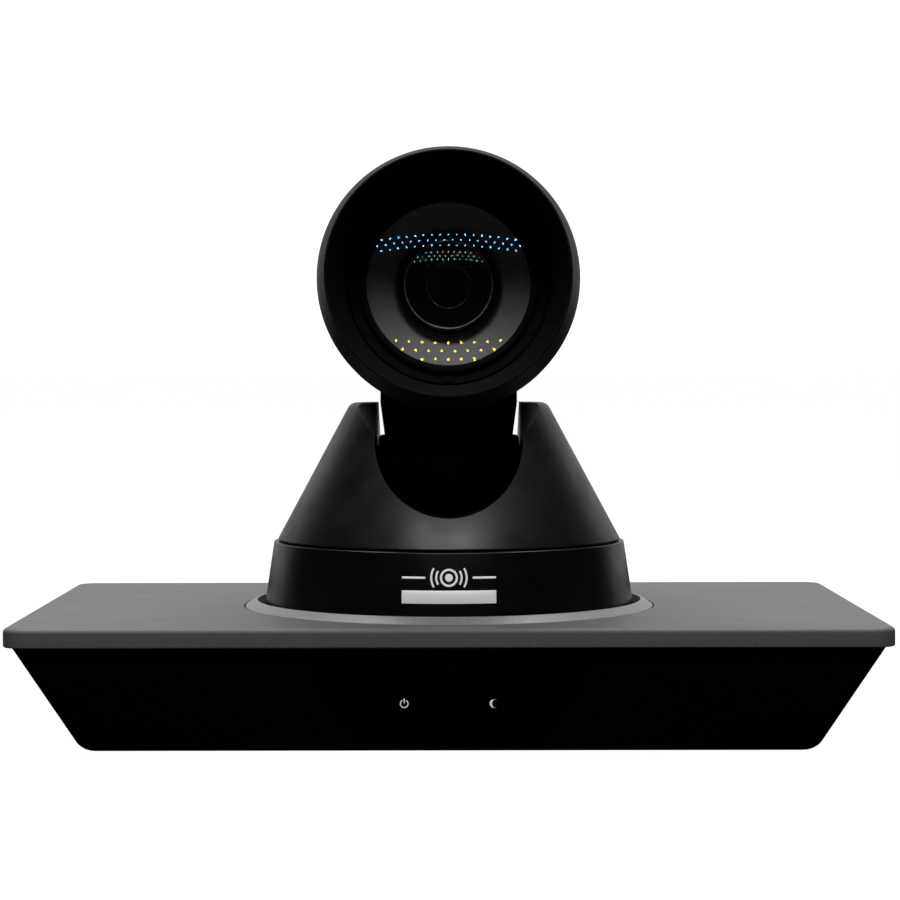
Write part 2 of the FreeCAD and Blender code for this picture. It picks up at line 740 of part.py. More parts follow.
def power_switch():
    frame = rocker_block(1.4, 7.0, (S.body_back - 11.0, S.body_back))
    hollow = rocker_block(0.2, 5.8, (S.body_back - 9.5, S.body_back))
    keep("rocker_frame", cut(frame, hollow))
    button = rocker_block(0.0, S.rocker_half, (S.body_back - 5.0, S.body_back + 0.8))
    axis = (S.body_back - 3.0, S.rocker_height)
    sides = (S.rocker_place - S.rocker_half, S.rocker_place + S.rocker_half)
    rocker = common(button, rod("X", 5.9, sides, axis))
    tip_back(rocker, S.rocker_turn, *axis)
    keep("power_rocker", rocker)


def indicators():
    place, height = S.guide_place, S.guide_height
    board_y = (-52.0, -52.0 + S.board_thick)
    board = box((-32.0, 32.0), board_y, (6.0, 26.0))
    keep("indicator_board", board)
    inner_face = -(S.body_foot_front - S.wall)
    lean = (S.body_top_front - S.body_foot_front) / (S.plate_low - FOOT)
    face = inner_face - lean * (height - FOOT)
    guides = [rod("Y", 1.8, (face + 1.4, -52.0), (side * place, height)) for side in (-1, 1)]
    keep("light_guides", group(*guides))
    receivers = []
    for x in (-24.0, 24.0):
        case = box((x - 3.0, x + 3.0), (-55.0, -52.0), (11.0, 18.0))
        receivers.append(fuse(case, ball(2.4, (x, -55.0, 14.6))))
    keep("ir_receivers", group(*receivers))


# ---- Base: pan drive ---------------------------------------------------------------------------


def involute(angle):
    return math.tan(angle) - angle


def gear_outline(teeth, module, addendum, play):
    """Corners of a spur gear, the flanks as involutes, with the gap of a tooth facing +X."""
    pressure = math.radians(20.0)
    pitch = module * teeth / 2
    base = pitch * math.cos(pressure)
    root = pitch - 1.25 * module
    tip = pitch + addendum * module
    half_tooth = math.pi / (2 * teeth) - play / (4 * pitch)
    steps = 5
    radii = [root] + [max(base, root) + (tip - max(base, root)) * step / steps
                      for step in range(steps + 1)]
    flank = []
    for radius in radii:
        turn = math.acos(min(1.0, base / max(radius, base)))
        flank.append((radius, half_tooth + involute(pressure) - involute(turn)))
    corners = []
    for tooth in range(teeth):
        middle = 2 * math.pi * (tooth + 0.5) / teeth
        for radius, half in flank:
            corners.append((radius * math.cos(middle - half), radius * math.sin(middle - half)))
        for radius, half in reversed(flank):
            corners.append((radius * math.cos(middle + half), radius * math.sin(middle + half)))
    return corners


def spur_gear(label, teeth, addendum, low, thick, centre_x, turn=0.0):
    """A gear as a plain feature; its outline is drawn by a loop and then lifted to its height."""
    corners = gear_outline(teeth, sheet.gear_module, addendum, sheet.tooth_play)
    points = [V(x, y, 0) for x, y in corners]
    wire = Part.makePolygon(points + points[:1])
    item = doc.addObject("Part::Feature", label)
    item.Shape = Part.Face(wire).extrude(V(0, 0, thick))
    item.Placement = FreeCAD.Placement(V(centre_x, 0, low), FreeCAD.Rotation(V(0, 0, 1), turn))
    return item


PAN_MOTOR_X = S.gear_module * (S.gear_teeth + S.pinion_teeth) / 2


def pan_support():
    shelf_top = S.shelf_low + S.shelf_thick
    shelf = box((-26.0, 26.0), (-19.0, 19.0), (S.shelf_low, shelf_top))
    legs = [rod("Z", 3.0, (COVER_TOP, S.shelf_low + 1.0), at) for at in SHELF_POSTS]
    step = box((24.0, 26.0), (-19.0, 19.0), (S.shelf_low, S.motor_shelf_top))
    motor_low = S.motor_shelf_top - S.shelf_thick
    motor_shelf = box((24.0, 60.0), (-19.0, 19.0), (motor_low, S.motor_shelf_top))
    legs += [rod("Z", 3.0, (COVER_TOP, motor_low + 1.0), (56.0, y)) for y in (-15.0, 15.0)]
    bores = [rod("Z", S.post_bore, (S.shelf_low, shelf_top)),
             rod("Z", 4.0, (motor_low, S.motor_shelf_top), (PAN_MOTOR_X, 0))]
    keep("pan_bracket", cut(fuse(shelf, step, motor_shelf, *legs), *bores))
    post = fuse(rod("Z", S.post_radius, (shelf_top, S.turntable_top - 1.0)),
                rod("Z", 13.0, (shelf_top, S.bearing_low - 1.0)),
                rod("Z", 9.4, (shelf_top, S.bearing_low)))
    keep("pan_post", cut(post, rod("Z", S.post_bore, (shelf_top, S.turntable_top))))


def bearings():
    inner = []
    outer = []
    balls = []
    count = 10
    ring = (S.race_inner + S.race_outer) / 2
    for low in (S.bearing_low, S.bearing_high):
        span = (low, low + S.bearing_wide)
        inner.append(tube("Z", S.race_inner, S.post_radius, span))
        outer.append(tube("Z", S.hub_bore, S.race_outer, span))
        for index in range(count):
            angle = 360.0 * index / count
            balls.append(ball(S.ball_radius, (ring * math.cos(math.radians(angle)),
                                              ring * math.sin(math.radians(angle)),
                                              low + S.bearing_wide / 2)))
    keep("bearing_inner_rings", group(*inner, *balls))
    keep("bearing_outer_rings", group(*outer))


def pan_drive():
    at = (PAN_MOTOR_X, 0)
    motor_top = S.motor_shelf_top - S.shelf_thick
    can = rod("Z", S.pan_motor_radius, (COVER_TOP + 0.1, motor_top), at)
    hole = rod("Z", S.shaft_radius + S.shaft_play, (motor_top - 4.1, motor_top), at)
    keep("pan_motor", cut(can, hole))
    shaft = rod("Z", S.shaft_radius, (motor_top - 4.0, S.gear_low + 5.0), at)
    pinion_teeth = int(sheet.pinion_teeth)
    low, thick = sheet.gear_low - 0.5, sheet.gear_thick + 1.0
    pinion = spur_gear("Pinion", pinion_teeth, 0.95, low, thick, number(PAN_MOTOR_X),
                       180.0 + 180.0 / pinion_teeth)
    keep("pan_pinion", fuse(pinion, shaft))
    wheel = spur_gear("Wheel", int(sheet.gear_teeth), 0.9, sheet.gear_low, sheet.gear_thick, 0.0)
    span = (S.gear_low, S.gear_low + S.gear_thick)
    holes = [rod("Z", S.hub_radius, span)]
    for index in range(6):
        angle = math.radians(60.0 * index + 30.0)
        holes.append(rod("Z", 5.0, span, (27.0 * math.cos(angle), 27.0 * math.sin(angle))))
    keep("pan_gear", cut(wheel, *holes))


# ---- Yoke --------------------------------------------------------------------------------------


def cone_radius(z, inset=0.0):
    """Radius of the cone cover's side at a height, or of its inside."""
    return S.cover_radius - inset / cosine(S.cover_slope) - tangent(S.cover_slope) * (z - COVER_FOOT)


COVER_FOOT = S.band_top + S.seam
BELT_SPAN = (S.belt_inside, S.belt_inside + S.belt_wide)


def turntable():
    body = turned("pan_hub", "pan", [
        (S.hub_bore, S.bearing_low - 0.4),
        (S.hub_radius, S.bearing_low - 0.4),
        (S.hub_radius, S.turntable_low),
        (S.turntable_radius, S.turntable_low),
        (S.turntable_radius, S.turntable_top),
        (S.hub_bore, S.turntable_top),
    ])
    hole = pocket(body, "XY", [("circle", 43.0, 0, S.screw_radius)], S.turntable_low, S.turntable_top)
    repeat_round(body, hole, 4)
    threads = [("circle", x, y, S.screw_radius) for x, y in FRAME_SCREWS]
    pocket(body, "XY", threads, S.turntable_low, S.turntable_top)
    keep("pan_hub", body)


def band_side(z):
    """Radius of the band's sloping side at a height."""
    draft = (S.band_radius - S.band_top_radius) / (S.band_top - S.collar_top)
    return S.band_radius + draft * (S.collar_top - z)


def band():
    foot_radius = band_side(S.band_low)
    floor_top = S.band_low + 2.0
    body = turned("yoke_band", "pan", [
        (38.0, S.band_low),
        (foot_radius, S.band_low),
        (S.band_top_radius, S.band_top),
        (S.cover_radius - 4.2, S.band_top),
        (S.cover_radius - 4.2, S.band_top + 2.4),
        (S.cover_radius - 5.7, S.band_top + 2.4),
        (S.cover_radius - 5.7, S.band_top - 2.0),
        (foot_radius - S.wall, floor_top),
        (38.0, floor_top),
    ])
    hole = pocket(body, "XY", [("circle", 43.0, 0, S.screw_radius + 0.1)], S.band_low, floor_top)
    repeat_round(body, hole, 4)
    keep("yoke_band", body)


def yoke_solid(name, inset):
    """The cone with its sloping facets, before the channel is cut.  Inside it, inset is the wall."""
    top = S.arm_top - inset
    foot = cone_radius(COVER_FOOT, inset)
    shoulder = cone_radius(top, inset)
    cone = turned(name, "pan", [(0, COVER_FOOT), (foot, COVER_FOOT), (shoulder, top), (0, top)])
    rounded(cone, S.arm_round if inset == 0.0 else 1.0, (shoulder, 0, top))
    ridge = S.facet_height - (inset / cosine(S.facet_slope) if inset else 0.0)
    reach = 60.0
    drop = tangent(S.facet_slope) * reach
    prism = new_body(f"{name}_facets")
    roof = [(-reach, 0), (reach, 0), (reach, ridge - drop), (0, ridge), (-reach, ridge - drop)]
    pad(prism, "YZ", [roof], -reach, reach)
    return common(cone, prism)


def channel(inset):
    """The channel between the arms and the pocket for the neck's drum."""
    half = S.arm_gap + inset
    ys = (-60.0, 60.0)
    slot = box((-half, half), ys, (S.channel_height, 120.0))
    floor = rod("Y", half, ys, (0, S.channel_height))
    drum = rod("X", S.pocket_radius + inset, (-half, half), (0, S.tilt_height))
    return fuse(slot, floor, drum)


def yoke_cover():
    outside = cut(yoke_solid("cone_outside", 0.0), channel(0.0))
    inside = cut(yoke_solid("cone_inside", S.wall), channel(S.wall))
    shell = cut(outside, inside)
    holes = rod("X", S.axle_radius + 1.5, (-30.0, 30.0), (0, S.tilt_height))
    limits = box((-26.0, 26.0), (-10.0, 10.0), (60.0, 100.0))
    keep("yoke_cover", cut(shell, common(holes, limits)))


def tilt_frame():
    inside = S.frame_inside
    outside = inside + S.frame_thick
    low = S.turntable_top
    plate = box((-outside, outside), (-14.0, 14.0), (low, low + S.frame_thick))
    arms = [box((-outside, -inside), (-8.0, 8.0), (low, S.tilt_height + 7.5)),
            box((inside, outside), (-8.0, 8.0), (low, S.tilt_height + 7.5))]
    holes = [rod("X", 5.0, (-outside, outside), (0, S.tilt_height)),
             rod("X", 3.0, (inside, outside), (0, S.tilt_motor_height)),
             rod("Z", 11.0, (low, low + S.frame_thick))]
    holes += [rod("Z", S.screw_radius + 0.1, (low, low + S.frame_thick), at) for at in FRAME_SCREWS]
    keep("tilt_frame", cut(fuse(plate, *arms), *holes))
    tip = S.turntable_low + 0.2
    screws = [screw(tip, low + S.frame_thick, 1.6, at) for at in FRAME_SCREWS]
    screws += [screw(tip, S.band_low + 2.0, 1.6, at)
               for at in ((43.0, 0.0), (0.0, 43.0), (-43.0, 0.0), (0.0, -43.0))]
    keep("yoke_screws", group(*screws))
    bushes = []
    for side in (-1, 1):
        sleeve = (inside, outside) if side > 0 else (-outside, -inside)
        flange = (outside, outside + 0.6) if side > 0 else (-outside - 0.6, -outside)
        both = fuse(rod("X", 5.0, sleeve, (0, S.tilt_height)), rod("X", 6.5, flange, (0, S.tilt_height)))
        ends = (flange[0], sleeve[1]) if side < 0 else (sleeve[0], flange[1])
        bushes.append(cut(both, rod("X", S.axle_radius + S.axle_play, ends, (0, S.tilt_height))))
    keep("tilt_bushes", group(*bushes))


def flanged_pulley(radius, bore, height):
    """A belt pulley with a thin flange on each side of the belt."""
    low, high = BELT_SPAN[0] - 0.1, BELT_SPAN[1] + 0.1
    at = (0, height)
    drum = rod("X", radius, (low, high), at)
    flanges = [rod("X", radius + 1.3, ends, at) for ends in ((low - 0.4, low), (high, high + 0.4))]
    return cut(fuse(drum, *flanges), rod("X", bore, (low - 0.4, high + 0.4), at))


def belt_form(radius, small_radius):
    """The loop round both pulleys, filled."""
    distance = S.tilt_height - S.tilt_motor_height
    lean = (radius - small_radius) / distance
    level = math.sqrt(1.0 - number(lean) ** 2)
    body = new_body("belt_sides")
    sides = [
        (-radius * level, S.tilt_height + radius * lean),
        (-small_radius * level, S.tilt_motor_height + small_radius * lean),
        (small_radius * level, S.tilt_motor_height + small_radius * lean),
        (radius * level, S.tilt_height + radius * lean),
    ]
    pad(body, "YZ", [sides], *BELT_SPAN)
    return fuse(body, rod("X", radius, BELT_SPAN, (0, S.tilt_height)),
                rod("X", small_radius, BELT_SPAN, (0, S.tilt_motor_height)))


def tilt_drive():
    at = (0, S.tilt_motor_height)
    can = rod("X", S.tilt_motor_radius, (-8.0, S.frame_inside), at)
    hole = rod("X", S.shaft_radius + S.shaft_play, (S.frame_inside - 4.1, S.frame_inside), at)
    keep("tilt_motor", cut(can, hole))
    shaft = rod("X", S.shaft_radius, (S.frame_inside - 4.0, BELT_SPAN[1] + 0.5), at)
    keep("tilt_motor_pulley",
         fuse(shaft, flanged_pulley(S.motor_pulley_radius, S.shaft_radius, S.tilt_motor_height)))
    play = 0.08
    outside = belt_form(S.pulley_radius + play + S.belt_thick, S.motor_pulley_radius + play + S.belt_thick)
    inside = belt_form(S.pulley_radius + play, S.motor_pulley_radius + play)
    keep("tilt_belt", cut(outside, inside))


def nameplate():
    low = S.nameplate_height - S.nameplate_deep / 2
    high = S.nameplate_height + S.nameplate_deep / 2
    gap = 0.05
    thick = 0.5
    ring = turned("nameplate_ring", "pan", [
        (band_side(low) + gap, low),
        (band_side(low) + gap + thick, low),
        (band_side(high) + gap + thick, high),
        (band_side(high) + gap, high),
    ])
    half = S.nameplate_wide / 2
    keep("nameplate", common(ring, box((-half, half), (-60.0, -40.0), (low - 1.0, high + 1.0))))


# ---- Head --------------------------------------------------------------------------------------


def deep(distance):
    """A place along Y, from its distance behind the hood's front rim."""
    return S.hood_front + distance


def head_shells():
    back = deep(S.hood_deep)
    hood = turned("lens_hood", "optical", [
        (S.hood_front, S.hood_mouth),
        (S.hood_front, S.hood_rim),
        (deep(10.5), S.hood_radius - 0.9),
        (deep(17.0), S.hood_radius),
        (back, S.hood_radius),
        (back, S.barrel_radius - S.wall - 0.1),
        (deep(42.0), S.barrel_radius - S.wall - 0.1),
        (deep(42.0), 29.0),
        (deep(26.0), 29.6),
    ])
    rounded(hood, 0.8, (0, back, S.optical_height + S.hood_radius))
    keep_head("lens_hood", hood)
    barrel = turned("barrel_tube", "optical", [
        (back + S.fit_gap, S.barrel_radius - S.wall),
        (back + S.fit_gap, S.barrel_radius),
        (S.barrel_back, S.barrel_radius),
        (S.barrel_back, S.barrel_radius - S.wall),
    ])
    way = rod("Z", 7.0, (90.0, 100.0))
    screw_holes = [rod("Z", S.screw_radius + 0.1, (90.0, 100.0), (0, y)) for y in (-12.0, 12.0)]
    keep_head("head_barrel", cut(barrel, way, *screw_holes))
    front = S.barrel_back + S.fit_gap
    inner = S.barrel_radius - S.wall
    cap = turned("head_rear_cap", "optical", [
        (front, inner),
        (front, S.barrel_radius),
        (S.cap_back, S.barrel_radius),
        (S.cap_back, 0),
        (S.cap_back - S.wall, 0),
        (S.cap_back - S.wall, inner),
    ])
    rounded(cap, S.cap_round, (0, S.cap_back, S.optical_height + S.barrel_radius))
    rounded(cap, S.cap_round - S.wall, (0, S.cap_back - S.wall, S.optical_height + inner))
    keep_head("head_rear_cap", cap)


def neck():
    low_half, top_half = S.neck_low_half, S.neck_top_half
    drum = rod("X", S.drum_radius, (-top_half, top_half), (0, S.tilt_height))
    stem = box((-top_half, top_half), (-S.drum_radius, S.drum_radius), (S.tilt_height, 106.0))
    taper = new_body("neck_taper")
    pad(taper, "XZ", [[
        (-low_half, 60.0), (low_half, 60.0), (low_half, S.tilt_height + 6.0), (top_half, 95.0),
        (top_half, 110.0), (-top_half, 110.0), (-top_half, 95.0), (-low_half, S.tilt_height + 6.0),
    ]], -30.0, 30.0)
    stock = common(fuse(drum, stem), taper)
    bosses = [rod("X", S.boss_radius, ends, (0, S.tilt_height))
              for ends in ((-20.9, -15.0), (15.0, 20.9))]
    saddle = rod("Y", S.barrel_radius + 0.05, (-40.0, 40.0), (0, S.optical_height))
    bores = [rod("X", S.axle_radius, ends, (0, S.tilt_height)) for ends in ((-21.0, -12.0), (12.0, 21.0))]
    way = rod("Z", 7.0, (S.tilt_height, 106.0))
    threads = [rod("Z", S.screw_radius, (86.0, 106.0), (0, y)) for y in (-12.0, 12.0)]
    keep_head("head_neck", cut(fuse(stock, *bosses), saddle, *bores, way, *threads))
    keep_head("neck_screws", group(*[screw(86.2, 97.0, 1.6, (0, y)) for y in (-12.0, 12.0)]))
    end = BELT_SPAN[1] + 0.5
    right = rod("X", S.axle_radius, (12.2, end), (0, S.tilt_height))
    left = rod("X", S.axle_radius, (-S.frame_inside - S.frame_thick - 0.6, -12.2), (0, S.tilt_height))
    keep_head("tilt_axles", group(left, right))
    keep_head("tilt_pulley", flanged_pulley(S.pulley_radius, S.axle_radius, S.tilt_height))


def lens_disc(radius, depth, sag, thick):
    """A round glass whose front bulges towards -Y; its edge starts at `depth`."""
    curve = (radius * radius + sag * sag) / (2 * sag)
    at = (0, S.optical_height)
    blank = rod("Y", radius, (deep(depth) - sag - 1.0, deep(depth) + thick), at)
    return common(blank, ball(curve, (0, deep(depth) - sag + curve, S.optical_height)))


def optics_front():
    ledge = deep(S.ledge_depth)
    at = (0, S.optical_height)
    carrier = tube("Y", 28.8, S.ledge_bore, (ledge, ledge + 3.0), at)
    holes, screws = [], []
    for index in range(6):
        angle = math.radians(60.0 * index + 30.0)
        spot = (26.9 * math.cos(angle), S.optical_height + 26.9 * math.sin(angle))
        holes.append(rod("Y", 1.3, (ledge, ledge + 1.4), spot))
        screws.append(rod("Y", 1.2, (ledge - 0.4, ledge + 1.3), spot))
    keep_head("lens_carrier", cut(carrier, *holes))
    keep_head("carrier_screws", group(*screws))
    bezel = turned("bezel_ring", "optical", [
        (ledge - 1.8, S.ledge_bore - 0.1), (ledge - 1.8, S.bezel_radius - 0.5),
        (ledge - 1.3, S.bezel_radius), (ledge, S.bezel_radius), (ledge, S.ledge_bore - 0.1),
    ])
    keep_head("bezel_ring", bezel)
    keep_head("front_glass", lens_disc(S.glass_radius, S.ledge_depth - 0.6, S.glass_sag, 1.6))
    baffle = turned("baffle_cone", "optical", [
        (deep(41.2), S.glass_radius), (deep(42.2), S.glass_radius + 4.0), (deep(43.2), S.glass_radius + 4.0),
        (deep(44.4), S.lens_radius + 0.1), (deep(43.4), S.lens_radius + 0.1),
    ])
    keep_head("baffle_cone", baffle)
    ring = turned("lens_ring", "optical", [
        (deep(40.8), S.lens_bore + 0.5), (deep(40.8), S.lens_radius - 0.5), (deep(41.3), S.lens_radius),
        (deep(45.0), S.lens_radius), (deep(45.0), S.lens_bore), (deep(41.4), S.lens_bore),
    ])
    keep_head("lens_ring", ring)
    keep_head("front_element", lens_disc(S.lens_bore - 0.05, 43.0, 1.6, 1.8))


def camera_module():
    at = (0, S.optical_height)
    tube_span = (deep(45.0), deep(S.tube_end))
    keep_head("lens_tube", tube("Y", S.tube_radius, S.tube_bore, tube_span, at))
    keep_head("iris_plate", tube("Y", S.tube_bore, S.iris_radius, (deep(49.0), deep(49.6)), at))
    for name, depth, glass in (("zoom_group", 54.0, 11.0), ("focus_group", 70.0, 9.5)):
        span = (deep(depth), deep(depth + 5.0))
        cell = tube("Y", S.tube_bore - 0.3, glass, span, at)
        keep_head(name, fuse(cell, rod("Y", glass, (deep(depth + 1.2), deep(depth + 3.8)), at)))
    plate = tube("Y", 31.6, S.tube_radius, (deep(60.0), deep(62.0)), at)
    posts = [rod("Y", 1.8, (deep(61.0), deep(84.4)), (x, S.optical_height + z))
             for x in (-15.0, 15.0) for z in (-15.0, 15.0)]
    keep_head("module_plate", fuse(plate, *posts))
    board = box((-18.0, 18.0), (deep(84.4), deep(84.4) + S.board_thick),
                (S.optical_height - 18.0, S.optical_height + 18.0))
    chip = box((-5.0, 5.0), (deep(83.0), deep(84.4)),
               (S.optical_height - 4.0, S.optical_height + 4.0))
    keep_head("sensor_board", fuse(board, chip))
    frame = box((-6.5, 15.5), (deep(81.6), deep(82.4)), (S.optical_height - 6.0, S.optical_height + 6.0))
    keep_head("filter_slide", group(frame))


top_plate()
collar()
base_body()
bottom_cover()
fixings_of_base()
electronics()
rear_panel()
power_switch()
indicators()
pan_support()
bearings()
pan_drive()
turntable()
band()
yoke_cover()
tilt_frame()
tilt_drive()
nameplate()
head_shells()
neck()
optics_front()
camera_module()

# ---------------------------------------------------------------------------------------------
# Check and write
# ---------------------------------------------------------------------------------------------

doc.recompute()
for item in doc.Objects:
    if "Invalid" in item.State or "Error" in item.State:
        raise RuntimeError(f"{item.Label} failed: {item.State}")
for item in sub_parts:
    if item.Shape.isNull() or not item.Shape.isValid() or not item.Shape.Solids:
        raise RuntimeError(f"{item.Label} has no valid solid")

os.makedirs("parts", exist_ok=True)
for item in sub_parts:
    item.Shape.exportStep(os.path.join("parts", f"{item.Label}.step"))
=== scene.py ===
"""Looks of the pan-tilt-zoom camera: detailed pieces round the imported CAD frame, studio and camera.

Places are metres in the CAD's frame.  Head pieces are built level and then tipped back with the
head.  The camera object looks along -Y, +Z is up.
"""

import json
import math

import bmesh
import bpy
from mathutils import Matrix, Vector


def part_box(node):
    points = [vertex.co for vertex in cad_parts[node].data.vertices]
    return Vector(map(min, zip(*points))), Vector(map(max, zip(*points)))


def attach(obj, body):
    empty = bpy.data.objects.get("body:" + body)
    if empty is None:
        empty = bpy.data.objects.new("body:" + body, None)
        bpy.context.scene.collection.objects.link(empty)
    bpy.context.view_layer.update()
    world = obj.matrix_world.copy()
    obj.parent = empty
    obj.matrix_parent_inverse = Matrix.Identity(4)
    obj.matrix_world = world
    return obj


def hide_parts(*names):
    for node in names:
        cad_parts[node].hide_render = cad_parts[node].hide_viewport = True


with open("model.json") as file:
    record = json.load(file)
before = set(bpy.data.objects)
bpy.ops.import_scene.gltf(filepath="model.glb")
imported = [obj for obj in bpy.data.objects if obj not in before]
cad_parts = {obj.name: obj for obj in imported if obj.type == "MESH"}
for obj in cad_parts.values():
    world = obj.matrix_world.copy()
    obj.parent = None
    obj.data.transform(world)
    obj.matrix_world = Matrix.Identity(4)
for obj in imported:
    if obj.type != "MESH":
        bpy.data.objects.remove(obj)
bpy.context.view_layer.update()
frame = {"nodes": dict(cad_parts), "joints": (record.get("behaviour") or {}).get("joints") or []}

MM = 0.001

# ---- Sizes read from the frame -----------------------------------------------------------------


def low(node):
    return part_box(node)[0]


def high(node):
    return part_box(node)[1]


def joint(name):
    return next(item for item in frame["joints"] if item["name"] == name)


PLATE_TOP = high("base_top_plate")[2]
PLATE_LOW = low("base_top_plate")[2]
PLATE_HALF_X = high("base_top_plate")[0]
PLATE_HALF_Y = high("base_top_plate")[1]
COLLAR_FOOT = high("collar_ring")[0]
COLLAR_TOP = high("collar_ring")[2]
BODY_LOW = low("base_body")[2]
BAND_FOOT = high("yoke_band")[0]
BAND_LOW = low("yoke_band")[2]
BAND_HEAD = BAND_FOOT - 3.1 * MM
CONE_FOOT = high("yoke_cover")[0]
CONE_LOW = low("yoke_cover")[2]
ARM_TOP = high("yoke_cover")[2]
BARREL_RADIUS = high("head_barrel")[0]
BODY_TOP_HALF = high("base_body")[0]
TILT_HEIGHT = joint("tilt")["pos_m"][2]

# ---- Sizes of the design ------------------------------------------------------------------------

PLATE_CORNER = 6.0 * MM
BODY_FOOT_HALF = 101.1 * MM
BODY_FOOT_FRONT = 63.8 * MM
BODY_TOP_FRONT = 70.0 * MM
BODY_BACK = 66.0 * MM
BODY_WALL = 2.6 * MM
BODY_CORNER = 5.0 * MM
BODY_ROUNDING = 2.4 * MM
WINDOW_RADIUS = 39.0 * MM
WINDOW_CENTRE = 35.0 * MM
WINDOW_BOTTOM = 4.0 * MM
WINDOW_TOP = 29.8 * MM
REST_TILT = math.radians(2.4)
ARM_GAP = 21.2 * MM
CHANNEL_HEIGHT = 84.9 * MM
CONE_SLOPE = math.radians(28.27)
RIDGE_HEIGHT = 102.6 * MM
RIDGE_SLOPE = math.radians(31.0)
AXLE_POCKET = 18.5 * MM
BAND_GAP = 0.4 * MM
OPTICAL_HEIGHT = 128.8 * MM
HOOD_FRONT = -66.8 * MM
BAND_TOP = CONE_LOW - BAND_GAP
SEGMENTS = 256

HEAD = (Matrix.Translation((0, 0, TILT_HEIGHT)) @ Matrix.Rotation(-REST_TILT, 4, "X")
        @ Matrix.Translation((0, 0, -TILT_HEIGHT)))
LEVEL_OPTICAL = (Matrix.Translation((0, 0, OPTICAL_HEIGHT))
                 @ Matrix.Rotation(math.radians(-90), 4, "X"))
OPTICAL = HEAD @ LEVEL_OPTICAL

# ---- Mesh tools ---------------------------------------------------------------------------------


def link(name, mesh):
    """An object of a mesh, put in the scene."""
    item = bpy.data.objects.new(name, mesh)
    bpy.context.scene.collection.objects.link(item)
    return item


def from_bmesh(name, bm, sharp=35.0):
    """An object from a bmesh, smooth except at edges sharper than an angle in degrees."""
    bmesh.ops.recalc_face_normals(bm, faces=bm.faces)
    mesh = bpy.data.meshes.new(name)
    bm.to_mesh(mesh)
    bm.free()
    mesh.shade_smooth()
    mesh.set_sharp_from_angle(angle=math.radians(sharp))
    return link(name, mesh)


def rounded_outline(corners, steps=6):
    """Replaces each corner (u, v, radius) of a closed outline by an arc of that radius."""
    points = []
    count = len(corners)
    for index, (u, v, radius) in enumerate(corners):
        here = Vector((u, v))
        before = Vector(corners[index - 1][:2]) - here
        after = Vector(corners[(index + 1) % count][:2]) - here
        half = before.angle(after) / 2
        if radius <= 0 or half > math.radians(89.5):
            points.append((u, v))
            continue
        reach = min(radius / math.tan(half), 0.49 * before.length, 0.49 * after.length)
        radius = reach * math.tan(half)
        middle = (before.normalized() + after.normalized()).normalized()
        centre = here + middle * (radius / math.sin(half))
        start = here + before.normalized() * reach - centre
        turn = start.angle_signed(here + after.normalized() * reach - centre)
        for step in range(steps + 1):
            spoke = Matrix.Rotation(-turn * step / steps, 2) @ start
            points.append(tuple(centre + spoke))
    return points


def lathe(name, corners, place=Matrix.Identity(4), segments=SEGMENTS, steps=6, sharp=35.0):
    """Turns a closed outline of (height, radius, rounding) corners about the local Z axis."""
    outline = rounded_outline(corners, steps)
    bm = bmesh.new()
    rings = []
    for height, radius in outline:
        if radius < 1e-7:
            rings.append([bm.verts.new((0, 0, height))])
            continue
        ring = []
        for index in range(segments):
            angle = 2 * math.pi * index / segments
            ring.append(bm.verts.new((radius * math.cos(angle), radius * math.sin(angle), height)))
        rings.append(ring)
    for ring, following in zip(rings, rings[1:] + rings[:1]):
        skin(bm, ring, following)
    bmesh.ops.transform(bm, matrix=place, verts=bm.verts)
    return from_bmesh(name, bm, sharp)


def skin(bm, ring, following):
    """Faces between two rings; a ring of one vertex is a point on the axis."""
    if len(ring) == 1 and len(following) == 1:
        return
    count = max(len(ring), len(following))
    for index in range(count):
        after = (index + 1) % count
        loop = []
        for point in ((ring, index), (ring, after), (following, after), (following, index)):
            vertex = point[0][0] if len(point[0]) == 1 else point[0][point[1]]
            if vertex not in loop:
                loop.append(vertex)
        bm.faces.new(loop)


def head_lathe(name, corners, **options):
    """A lathe about the optical axis; the heights run backwards from the hood's front rim."""
    corners = [((HOOD_FRONT + depth * MM), radius * MM, rounding * MM)
               for depth, radius, rounding in corners]
    return lathe(name, corners, OPTICAL, **options)


def rounded_rectangle(half_x, front, back, corner, z, steps=10):
    """Loop of points round a rectangle with round corners, the same number for every size."""
    quarters = ((half_x - corner, back - corner, 0), (corner - half_x, back - corner, 90),
                (corner - half_x, front + corner, 180), (half_x - corner, front + corner, 270))
    points = []
    for cx, cy, start in quarters:
        for step in range(steps + 1):
            angle = math.radians(start + 90 * step / steps)
            points.append((cx + corner * math.cos(angle), cy + corner * math.sin(angle), z))
    return points


def circle(radius, z):
    """Loop of points round the pan axis."""
    points = []
    for index in range(SEGMENTS):
        angle = 2 * math.pi * index / SEGMENTS
        points.append((radius * math.cos(angle), radius * math.sin(angle), z))
    return points


def loft(name, loops, sharp=35.0):
    """A closed skin over a ring of loops.  Loops of one size are joined by quads, and flat ones of
    different sizes by a triangulated face."""
    bm = bmesh.new()
    rings = [[bm.verts.new(point) for point in loop] for loop in loops]
    for ring, following in zip(rings, rings[1:] + rings[:1]):
        if len(ring) == len(following):
            skin(bm, ring, following)
        else:
            edges = []
            for loop in (ring, following):
                for start, end in zip(loop, loop[1:] + loop[:1]):
                    edges.append(bm.edges.get((start, end)) or bm.edges.new((start, end)))
            bmesh.ops.triangle_fill(bm, edges=edges, use_beauty=True)
    return from_bmesh(name, bm, sharp)


